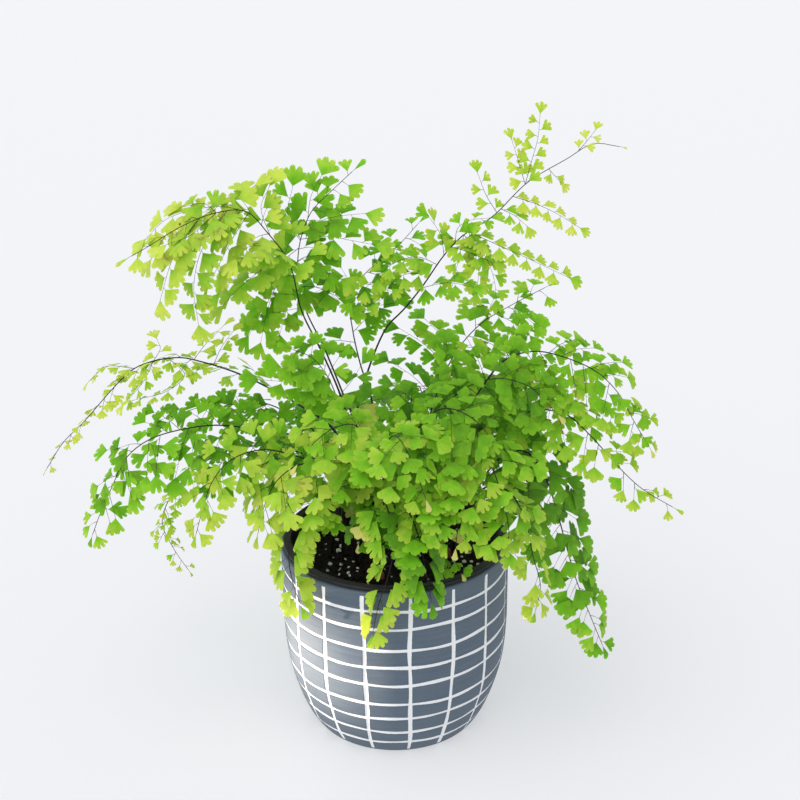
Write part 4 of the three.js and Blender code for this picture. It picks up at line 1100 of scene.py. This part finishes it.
class Frond:
    """The curves and the leaflets of one frond, grown by rule from its few driving points."""

    def __init__(self, number, table):
        self.number = number
        self.name = table["name"]
        self.face = Vector(table["face"]).normalized()
        dense = self.name in MASS_FRONDS
        self.kinds = MASS_KINDS if dense else SPRAY_KINDS
        if self.name in ROUNDER_FRONDS:
            self.kinds = ROUNDER_KINDS
        self.shade = MASS_SHADE if dense else 0
        self.tone = table["tone"] + TONE_SHIFTS.get(self.name, 0)
        self.leaf = table["leaf"] * (MASS_LEAF_SHARE if dense else LEAF_SHARE)
        self.leaf *= LARGER_LEAVES.get(self.name, 1)
        self.tip_share = TIP_SHARES.get(self.name, USUAL_TIP_SHARE)
        (x, y), *points = table["stem"]
        self.stem = Path([(x, y, STEM_FOOT), (x, y, SOIL_TOP), *points], STEM_PIECES)
        gap = SLIM_ROW_GAP if table["reach"] < SLIM_REACH * table["leaf"] else ROW_GAP
        if self.name in OPEN_FRONDS:
            gap = OPEN_ROW_GAP
        self.branches = self.row(table["bare"], gap * table["gap"], table["reach"])
        for start, *rest in table.get("twigs", ()):
            self.branches.append((start, Path([self.stem.at(start)[0], *rest], TWIG_PIECES)))
        self.leaflets = []
        for rank, (place, branch) in enumerate(self.branches):
            self.fill(rank, place, branch)
        point, along, out, _ = self.stem.directions(1, self.face)
        size = BUD_SHARE * self.tip_share * self.leaf
        self.leaflets.append(Leaflet(point, along, out, size, "bud", self.tint(1, 1, 0)))

    def row(self, bare, gap, reach):
        """Pairs of side branches, which shorten towards the tip."""
        if not reach:
            return []
        pairs = max(2, round(self.stem.length * (1 - bare) / gap))
        branches = []
        for i in range(pairs):
            for partner in (0, 1):
                up = (i + FIRST_BRANCH + PARTNER_SHIFT * partner) / pairs
                place = bare + (1 - bare) * up
                point, along, out, across = self.stem.directions(place, self.face)
                key = self.number + i * 5 + partner * 2
                taper = (1 - up) ** BRANCH_TAPER * min(1, BRANCH_START + up * BRANCH_SWELL)
                size = reach * taper * (1 + BRANCH_UNEVENNESS * spread(key * 3))
                side = 1 if (i + partner) % 2 else -1
                degrees = BRANCH_LEAN + BRANCH_LEAN_SPREAD * spread(key)
                heading = leaning(along, across, side, degrees) + out * BRANCH_LIFT * spread(key * 2)
                heading.normalize()
                middle = point + heading * size / 2 + DOWN * size * BRANCH_MIDDLE_SAG
                tip = point + heading * size + DOWN * size * BRANCH_SAG
                branches.append((place, Path([point, middle, tip], BRANCH_PIECES)))
        return branches

    def tint(self, along_stem, along_branch, key):
        """The tint of a leaflet: paler where the frond is young."""
        if self.shade and key % FADED_EVERY == 0:
            return FADED_TINT
        paling = PALING.get(self.name, USUAL_PALING)
        young = paling * (along_stem - PALING_MIDDLE) + BRANCH_PALING * (along_branch - 0.5)
        return min(PALEST, max(0, self.tone - self.shade + young + TINT_SPREAD * spread(key)))

    def fill(self, rank, place, branch):
        """Leaflets by turns on both sides of a branch, and one at its tip."""
        leaf = self.leaf * (1 - (1 - self.tip_share) * place ** 3)
        count = max(0, round((branch.length - END_ROOM * leaf) / (LEAF_PITCH * leaf)))
        for q in range(count):
            along_branch = (q + FIRST_LEAF) / (count + FIRST_LEAF)
            point, along, out, across = branch.directions(along_branch, self.face)
            side = 1 if (q + rank) % 2 else -1
            key = self.number + rank * 3 + q * 5
            degrees = LEAF_LEAN + LEAF_LEAN_SPREAD * spread(key)
            heading = leaning(along, across, side, degrees) + DOWN * LEAF_SAG
            upper = out + across * LEAF_ROLL * spread(key * 3) + along * LEAF_NOD * spread(key * 7)
            size = leaf * (1 - LEAF_TAPER * along_branch) * (1 + LEAF_UNEVENNESS * spread(key * 4))
            kind = self.kinds[(key * 7 + q) % len(self.kinds)]
            tint = self.tint(place, along_branch, key * 11)
            self.leaflets.append(Leaflet(point, heading, upper, size, kind, tint))
        point, along, out, _ = branch.directions(1, self.face)
        size = leaf * (END_LEAF if branch.length > leaf else SHORT_END_LEAF)
        kind = self.kinds[rank % len(self.kinds)]
        self.leaflets.append(Leaflet(point, along, out, size, kind, self.tint(place, 1, rank * 13)))


# ---- the fronds: their shapes ------------------------------------------------------------

TOOTH = 0.085  # how deep the teeth are, in leaflet lengths
TOOTH_CORNERS = (0.2, 0.8)  # where a tooth's corners are across it
LONE_TOOTH_CORNERS = (0.06, 0.3, 0.7, 0.94)  # those of the only tooth of a lobe
LOBE_ROUNDING = 0.13  # how much shorter a lobe's sides are than its middle
LEAF_ROUNDING = 0.11  # and a leaflet's sides
CUT_UNEVENNESS = 0.6
LEAF_GAP = 2.6  # half the width of a cut between lobes, in degrees
LEAF_RINGS = (0.55, 0)  # where a leaflet's edge is drawn in to, ring by ring, up to its root
DROOP, DROOP_SPREAD = 0.16, 0.22  # how far a leaflet's tip hangs
CUP, CUP_SPREAD = 0.14, 0.30  # how far its sides do
TWIST_SPREAD = 0.35
FRILL = 0.03  # how far its edge waves, in its lengths
FRILL_PACE = 9
STRAND_TAPER = 1.3  # 1 is an even taper; more thins a strand early
STEM_TIP_RADIUS = 0.16
TWIG_TIP = 0.45  # a twig's radius at its tip, in those at its root
PETIOLE_ROOT, PETIOLE_TIP = 0.5, 0.6  # and a leaflet's stalk's, at both its ends
PETIOLE_LAP = 0.35  # how far that stalk runs on under its leaflet
MERGED_IN_LEAF = 1e-5
STALK, TWIG, LEAF = 0, 1, 2  # a frond's materials


def leaf_outline(half, lobes, teeth, cut, lean):
    """The points of a leaflet's outer edge for a length of 1, from one side to the other."""
    points = []
    width = 2 * half / lobes
    inset = LEAF_GAP if lobes > 1 else 0
    corners = TOOTH_CORNERS if teeth > 1 else LONE_TOOTH_CORNERS

    def add(angle, reach):
        turn = math.radians(angle + lean)
        rounding = 1 - LEAF_ROUNDING * (angle / half) ** 2
        points.append(Vector((math.cos(turn), math.sin(turn), 0)) * reach * rounding)

    edge = []
    for tooth in range(teeth):
        if tooth:
            edge.append((tooth / teeth, 1 - TOOTH))
        edge += [((tooth + u) / teeth, 1) for u in corners]
    for lobe in range(lobes):
        low = -half + width * lobe
        if lobe:
            add(low, 1 - cut * (1 + CUT_UNEVENNESS * spread(lobe * 3 + teeth)))
        for across, reach in edge:
            angle = low + inset + (width - 2 * inset) * across
            add(angle, reach * (1 - LOBE_ROUNDING * (2 * across - 1) ** 2))
    return points


def leaf_mesh(kind, thickness):
    """A leaflet of length 1 along +X with its upper side to +Z, as a closed thin plate."""
    bm = bmesh.new()
    margin = bm.verts.layers.float.new("margin")
    corners = [bm.verts.new(point) for point in leaf_outline(*LEAF_CUTS[kind])]
    for corner in corners:
        corner[margin] = 1
    rim = [bm.edges.new(pair) for pair in zip(corners, corners[1:])]
    for step in LEAF_RINGS:
        grown = bmesh.ops.extrude_edge_only(bm, edges=rim)["geom"]
        inner = [item for item in grown if isinstance(item, bmesh.types.BMVert)]
        for corner in inner:
            corner[margin] = 0
        bmesh.ops.scale(bm, vec=(step, step, step), verts=inner)
        rim = [item for item in grown if isinstance(item, bmesh.types.BMEdge) and
               all(corner in inner for corner in item.verts)]
    bmesh.ops.remove_doubles(bm, verts=bm.verts, dist=MERGED_IN_LEAF)
    bm.normal_update()
    if sum(face.normal.z for face in bm.faces) < 0:
        bmesh.ops.reverse_faces(bm, faces=bm.faces)
    bmesh.ops.solidify(bm, geom=list(bm.faces), thickness=thickness)
    bmesh.ops.recalc_face_normals(bm, faces=bm.faces)
    uv = bm.loops.layers.uv.new("Leaf")
    for face in bm.faces:
        for loop in face.loops:
            loop[uv].uv = (loop.vert.co.x, loop.vert.co.y)
    return as_mesh("leaf " + kind, bm)


def add_leaflet(bm, leaflet, shapes, key):
    """Adds a leaflet, cupped and drooping a little, each in its own way."""
    first = len(bm.verts)
    bm.from_mesh(shapes[leaflet.kind])
    bm.verts.ensure_lookup_table()
    tint = bm.verts.layers.float["tint"]
    across = leaflet.upper.cross(leaflet.heading)
    droop = DROOP + DROOP_SPREAD * spread(key * 3)
    cup = CUP + CUP_SPREAD * spread(key * 5)
    twist = TWIST_SPREAD * spread(key * 7)
    start = leaflet.root + leaflet.heading * PETIOLE
    for vert in bm.verts[first:]:
        x, y, z = vert.co
        z -= droop * x * x + cup * y * y - twist * x * y
        z += FRILL * math.sin(FRILL_PACE * y + key) * x
        vert.co = start + (leaflet.heading * x + across * y + leaflet.upper * z) * leaflet.size
        vert[tint] = leaflet.tint


def tubes(strands):
    """The mesh of round strands, each its points, its radii at both ends and its material."""
    data = bpy.data.curves.new("strands", "CURVE")
    data.dimensions = "3D"
    data.bevel_depth = 1
    data.bevel_resolution = 1
    data.use_fill_caps = True
    for points, first, last, material in strands:
        spline = data.splines.new("POLY")
        spline.points.add(len(points) - 1)
        spline.material_index = material
        for k, (knot, point) in enumerate(zip(spline.points, points)):
            knot.co = (*point, 1)
            knot.radius = last + (first - last) * (1 - k / (len(points) - 1)) ** STRAND_TAPER
    carrier = bpy.data.objects.new("strands", data)
    mesh = bpy.data.meshes.new_from_object(carrier)
    bpy.data.objects.remove(carrier)
    return mesh


def frond_strands(frond, settings):
    """The frond's black stem, its twigs and the short stalks of its leaflets."""
    thin = settings.twig_radius
    strands = [(frond.stem.points, settings.stem_radius, STEM_TIP_RADIUS, STALK)]
    for _, branch in frond.branches:
        strands.append((branch.points, thin, thin * TWIG_TIP, TWIG))
    for leaflet in frond.leaflets:
        end = leaflet.root + leaflet.heading * (PETIOLE + PETIOLE_LAP)
        strands.append(([leaflet.root, end], thin * PETIOLE_ROOT, thin * PETIOLE_TIP, TWIG))
    return strands


def frond_mesh(frond, shapes, settings):
    """A frond's stem, twigs and leaflets in one mesh."""
    bm = bmesh.new()
    for layer in ("tint", "margin"):
        bm.verts.layers.float.new(layer)
    bm.loops.layers.uv.new("Leaf")
    for k, leaflet in enumerate(frond.leaflets):
        add_leaflet(bm, leaflet, shapes, frond.number * 31 + k)
    for face in bm.faces:
        face.material_index = LEAF
    strands = tubes(frond_strands(frond, settings))
    bm.from_mesh(strands)
    bpy.data.meshes.remove(strands)
    bmesh.ops.remove_doubles(bm, verts=bm.verts, dist=MERGED_IN_LEAF)
    return bm


VEIN_FORKS = (0.32, 0.64)  # where the veins fork, in leaflet lengths
VEIN_PALENESS = 0.44
BLOTCHINESS = 0.36
OUTWARD_PALING = 0.26  # how much paler a leaflet is at its edge than at its root
OUTWARD_MIDDLE = 0.6
GREEN_TINT = 0.46  # the tint at which leaflets are plain green
MARGIN_SHARPNESS = 9
MARGIN_PALENESS = 0.5
PALE_MARGIN = (0.55, 0.66, 0.12)
STEM_STREAKS = 0.5
# The record's material slots of the fronds, each with the tone in the frond table that it
# stops short of.
FOLIAGE_SLOTS = ((0.45, "foliage_deep"), (0.68, "foliage_mid"), (math.inf, "foliage_lime"))


def vein_group():
    """Veins that fork as they fan out from a leaflet's root, by its UV map: 1 on a vein."""
    group, given, result = new_group("Fan veins", {"Count": 5.0, "Width": 0.3}, ("Vein", "Reach"))
    nodes = group.nodes
    flat = put(nodes, "ShaderNodeUVMap", uv_map="Leaf")
    apart = put(nodes, "ShaderNodeSeparateXYZ")
    join(nodes, (flat.outputs[0], apart.inputs[0]))
    x, y = apart.outputs["X"], apart.outputs["Y"]
    angle = math_node(nodes, "ARCTAN2", y, x)
    reach = math_node(nodes, "SQRT", plus(nodes, times(nodes, x, x), times(nodes, y, y)))
    once, twice = (math_node(nodes, "GREATER_THAN", reach, fork) for fork in VEIN_FORKS)
    doubled = math_node(nodes, "POWER", 2, plus(nodes, once, twice))
    fanned = times(nodes, angle, times(nodes, given.outputs["Count"], doubled))
    wave = math_node(nodes, "PINGPONG", fanned, 0.5)
    edge = put(nodes, "ShaderNodeMapRange", {"To Min": 1.0, "To Max": 0.0},
               interpolation_type="SMOOTHSTEP")
    join(nodes, (wave, edge.inputs["Value"]), (given.outputs["Width"], edge.inputs["From Max"]),
         (edge.outputs[0], result.inputs["Vein"]), (reach, result.inputs["Reach"]))


def leaf_material(name, settings):
    """Soft thin leaflets: their tint from deep green to lime, pale margins and forked veins."""
    material, nodes, shader = new_material(name, {
        "Roughness": 0.52,
        "Specular IOR Level": 0.18,
        "Subsurface Weight": 0.55,
        "Subsurface Radius": (0.55, 1.0, 0.06),
        "Subsurface Scale": 1.2 * MM,
    })
    tint = layer_value(nodes, "tint")
    veins = group_node(nodes, "Fan veins", {"Count": 5, "Width": 0.22})
    ramp = put(nodes, "ShaderNodeValToRGB")
    stops = ramp.color_ramp.elements
    stops[0].color = opaque(settings.deep)
    stops[1].color = opaque(settings.pale)
    for tint_there, tone_there in ((GREEN_TINT, settings.green), (1, settings.lime)):
        stop = stops.new(tint_there / PALEST)
        stop.color = opaque(tone_there)
    uneven = swing(nodes, mottle(nodes, size=5, contrast=1.6), BLOTCHINESS)
    outward = swing(nodes, veins["Reach"], OUTWARD_PALING, OUTWARD_MIDDLE)
    tone = plus(nodes, tint, plus(nodes, uneven, outward))
    join(nodes, (math_node(nodes, "DIVIDE", tone, PALEST), ramp.inputs[0]))
    veined = mixed(nodes, times(nodes, veins["Vein"], VEIN_PALENESS), ramp.outputs[0], settings.lime)
    edge = math_node(nodes, "POWER", layer_value(nodes, "margin"), MARGIN_SHARPNESS)
    edged = mixed(nodes, times(nodes, edge, times(nodes, tint, MARGIN_PALENESS)), veined, PALE_MARGIN)
    faded = math_node(nodes, "GREATER_THAN", tint, (PALEST + FADED_TINT) / 2)
    join(nodes, (mixed(nodes, faded, edged, settings.yellow), shader.inputs["Base Color"]))
    bump(nodes, shader, veins["Vein"], distance=0.06)
    return material


def stem_material(name, tone, pale, smooth, rough):
    """A wiry stem: glossy black, or brown where it is hair-thin."""
    material, nodes, shader = new_material(name, {"Specular IOR Level": 0.3})
    streaks = mottle(nodes, size=6, stretch=0.3, contrast=2.2)
    streaked = mixed(nodes, times(nodes, streaks, STEM_STREAKS), tone, pale)
    finish_surface(nodes, shader, streaked, streaks, smooth, rough)
    return material


# ---- the camera, from the photograph's view, and the studio ------------------------------

AIM = Vector((3.705, 0, 186.17))  # what the camera looks at
CAMERA_DISTANCE = 663.49
CAMERA_PITCH = 21.743  # degrees down
CAMERA_ROLL = -0.596  # degrees
LENS = 57.02  # for the sensor's width
SENSOR_WIDTH = 36
KEY_PLACE = Vector((-560, -560, 1150))
KEY_AIM = Vector((0, 0, 150))
KEY_TONE = (1.0, 0.985, 0.96)
BEAM_PLACE = Vector((-1180, -45, 56))
BEAM_SIZE = 60
BEAM_SPREAD = 3  # degrees; narrow, so that it lights the pot's left side and few leaves
BEAM_TONE = (1.0, 0.79, 0.62)
SKY_TONE = (0.93, 0.95, 1.0)
FLOOR_RADIUS = 9  # metres, because a stage isn't scaled
FLOOR_SIDES = 96


def turned_to(direction):
    """The rotation that makes a lamp or a camera look in a direction."""
    return direction.to_track_quat("-Z", "Y")


def add_camera():
    """The camera where the photograph was taken from."""
    pitch = math.radians(CAMERA_PITCH)
    back = Vector((0, -math.cos(pitch), math.sin(pitch)))
    camera = placed("camera", bpy.data.cameras.new("camera"))
    camera.data.lens = LENS
    camera.data.sensor_fit = "HORIZONTAL"
    camera.data.sensor_width = SENSOR_WIDTH
    camera.data.clip_start = 0.01
    camera.location = (AIM + back * CAMERA_DISTANCE) * MM
    roll = Matrix.Rotation(math.radians(CAMERA_ROLL), 4, "Z")
    camera.rotation_euler = (turned_to(-back).to_matrix().to_4x4() @ roll).to_euler()
    bpy.context.scene.camera = camera


def add_lamp(name, kind, place, direction, strength, tone):
    """A lamp at a place, which shines in a direction."""
    light = bpy.data.lights.new(name, kind)
    light.energy = strength
    light.color = tone
    lamp = placed(name, light)
    lamp.location = place * MM
    lamp.rotation_euler = turned_to(direction).to_euler()
    return light


def floor_material(settings):
    """A plain pale matt floor, which glows a little so that the shadow on it stays weak."""
    lit = 1 - settings.floor_glow
    return new_material("Pale floor", {
        "Base Color": opaque(tuple(lit * part for part in settings.floor)),
        "Emission Color": opaque(settings.floor),
        "Emission Strength": settings.floor_glow,
        "Roughness": 0.75,
        "Specular IOR Level": 0.2,
    })[0]


# ---- operators ---------------------------------------------------------------------------

CLAY_SHADE = (0.20, 0.06, 0.03)
PERLITE_SHADE = (0.86, 0.83, 0.75)
STALK_SHINE = (0.022, 0.012, 0.010)
TWIG_SHINE = (0.12, 0.13, 0.05)
GRAIN_MARGIN = 1.5  # between the grains and the soil's edge


class FERN_OT_glazed_pot(bpy.types.Operator):
    """Adds the glazed pot with its carved grid"""

    bl_idname = "fern.glazed_pot"
    bl_label = "Glazed pot"

    def execute(self, context):
        settings = context.scene.fern_pot
        material = glaze_material(settings)
        bm = glazed_pot_mesh(settings)
        finished("glazed_pot", bm, [material], ["outer_pot"], crease=32)
        return {"FINISHED"}


class FERN_OT_nursery_pot(bpy.types.Operator):
    """Adds the black nursery pot that hangs by its lip"""

    bl_idname = "fern.nursery_pot"
    bl_label = "Nursery pot"

    def execute(self, context):
        material = plastic_material(context.scene.fern_pot)
        piece = finished("black_pot", nursery_mesh(), [material], ["nursery_pot"])
        turns = [math.tau * k / DRAIN_HOLES for k in range(DRAIN_HOLES)]
        places = [(DRAIN_CIRCLE * math.cos(turn), DRAIN_CIRCLE * math.sin(turn)) for turn in turns]
        drill(piece, places, DRAIN_RADIUS, NURSERY_LOW.z - 1, NURSERY_LOW.z + NURSERY_WALL + 1)
        return {"FINISHED"}


class FERN_OT_soil(bpy.types.Operator):
    """Adds the soil with its crumbs, perlite grains and clay chips"""

    bl_idname = "fern.soil"
    bl_label = "Soil"

    def execute(self, context):
        settings = context.scene.fern_soil
        dark = soil_material(settings)
        white = stone_material(
            "Perlite", settings.perlite, PERLITE_SHADE, pore=0.5, smooth=0.80, rough=0.95)
        clay = stone_material(
            "Fired clay", settings.clay, CLAY_SHADE, pore=0.8, smooth=0.77, rough=0.92)
        stems = [table["stem"][0] for table in FRONDS]
        finished("potting_mix", soil_mesh(), [dark], ["soil"])
        reach = SOIL_HIGH.x - GRAIN_MARGIN
        places = scattered(settings.soil_crumbs, reach, stems, key=1.0)
        crumbs = grains_mesh(places, smallest=0.5, largest=2.0, flatness=0.6, roughness=0.45)
        finished("soil_crumbs", crumbs, [dark])
        places = gathered(scattered(settings.perlite_grains, reach, stems, key=2.3))
        grains = grains_mesh(places, smallest=0.5, largest=1.6, flatness=0.7, roughness=0.9)
        finished("perlite", grains, [white])
        for chip in (1, 2):
            node = f"clay_chip_{chip}"
            bm = chip_mesh(node, key=chip * 7)
            finished(f"chip_{chip}", bm, [clay], [node])
        return {"FINISHED"}


class FERN_OT_fronds(bpy.types.Operator):
    """Adds every frond with its stem, twigs and leaflets"""

    bl_idname = "fern.fronds"
    bl_label = "Fronds"

    def execute(self, context):
        settings = context.scene.fern_plant
        stalk = stem_material("Black stem", settings.stalk, STALK_SHINE, smooth=0.28, rough=0.48)
        twig = stem_material("Thin twig", settings.twig, TWIG_SHINE, smooth=0.37, rough=0.57)
        leaves = {slot: leaf_material(slot.replace("_", " "), settings) for _, slot in FOLIAGE_SLOTS}
        shapes = {kind: leaf_mesh(kind, settings.leaf_thickness / 10) for kind in LEAF_CUTS}
        for place, table in enumerate(FRONDS):
            frond = Frond(place, table)
            slot = next(slot for end, slot in FOLIAGE_SLOTS if table["tone"] < end)
            bm = frond_mesh(frond, shapes, settings)
            finished(f"{frond.name}_frond", bm, [stalk, twig, leaves[slot]],
                     [f"frond_{frond.name}"], crease=50)
        for shape in shapes.values():
            bpy.data.meshes.remove(shape)
        return {"FINISHED"}


class FERN_OT_studio(bpy.types.Operator):
    """Adds the camera, the lamps and the pale floor"""

    bl_idname = "fern.studio"
    bl_label = "Studio"

    def execute(self, context):
        settings = context.scene.fern_studio
        add_camera()
        bm = bmesh.new()
        bmesh.ops.create_circle(bm, cap_ends=True, segments=FLOOR_SIDES, radius=FLOOR_RADIUS)
        floor = placed("floor", as_mesh("floor", bm))
        floor.data.materials.append(floor_material(settings))
        key = add_lamp("key", "SUN", KEY_PLACE, KEY_AIM - KEY_PLACE, settings.key_strength, KEY_TONE)
        key.angle = math.radians(settings.key_softness)
        beam = add_lamp("beam", "AREA", BEAM_PLACE, Vector((1, 0, 0)), settings.beam_power, BEAM_TONE)
        beam.size = BEAM_SIZE * MM
        beam.spread = math.radians(BEAM_SPREAD)
        world = bpy.data.worlds.new("studio")
        world.use_nodes = True
        set_inputs(world.node_tree.nodes["Background"],
                   {"Color": opaque(SKY_TONE), "Strength": settings.sky})
        context.scene.world = world
        context.scene.view_settings.view_transform = "Standard"
        return {"FINISHED"}


class FERN_PT_panel(bpy.types.Panel):
    """Lists what builds the fern"""

    bl_idname = "FERN_PT_panel"
    bl_label = "Potted fern"
    bl_space_type = "VIEW_3D"
    bl_region_type = "UI"
    bl_category = "Fern"

    def draw(self, context):
        for operator in OPERATORS:
            self.layout.operator(operator.bl_idname)


OPERATORS = (FERN_OT_glazed_pot, FERN_OT_nursery_pot, FERN_OT_soil, FERN_OT_fronds, FERN_OT_studio)
SETTINGS = {
    "fern_pot": FernPotSettings,
    "fern_soil": FernSoilSettings,
    "fern_plant": FernPlantSettings,
    "fern_studio": FernStudioSettings,
}


def register():
    """Registers the settings, the operators and the panel."""
    for name, group in SETTINGS.items():
        bpy.utils.register_class(group)
        setattr(bpy.types.Scene, name, bpy.props.PointerProperty(type=group))
    for cls in (*OPERATORS, FERN_PT_panel):
        bpy.utils.register_class(cls)


def unregister():
    """Takes back what register added."""
    for cls in (FERN_PT_panel, *reversed(OPERATORS)):
        bpy.utils.unregister_class(cls)
    for name, group in SETTINGS.items():
        delattr(bpy.types.Scene, name)
        bpy.utils.unregister_class(group)


def main():
    register()
    mottle_group()
    vein_group()
    bpy.ops.fern.glazed_pot()
    bpy.ops.fern.nursery_pot()
    bpy.ops.fern.soil()
    bpy.ops.fern.fronds()
    bpy.ops.fern.studio()


if __name__ == "__main__":
    main()
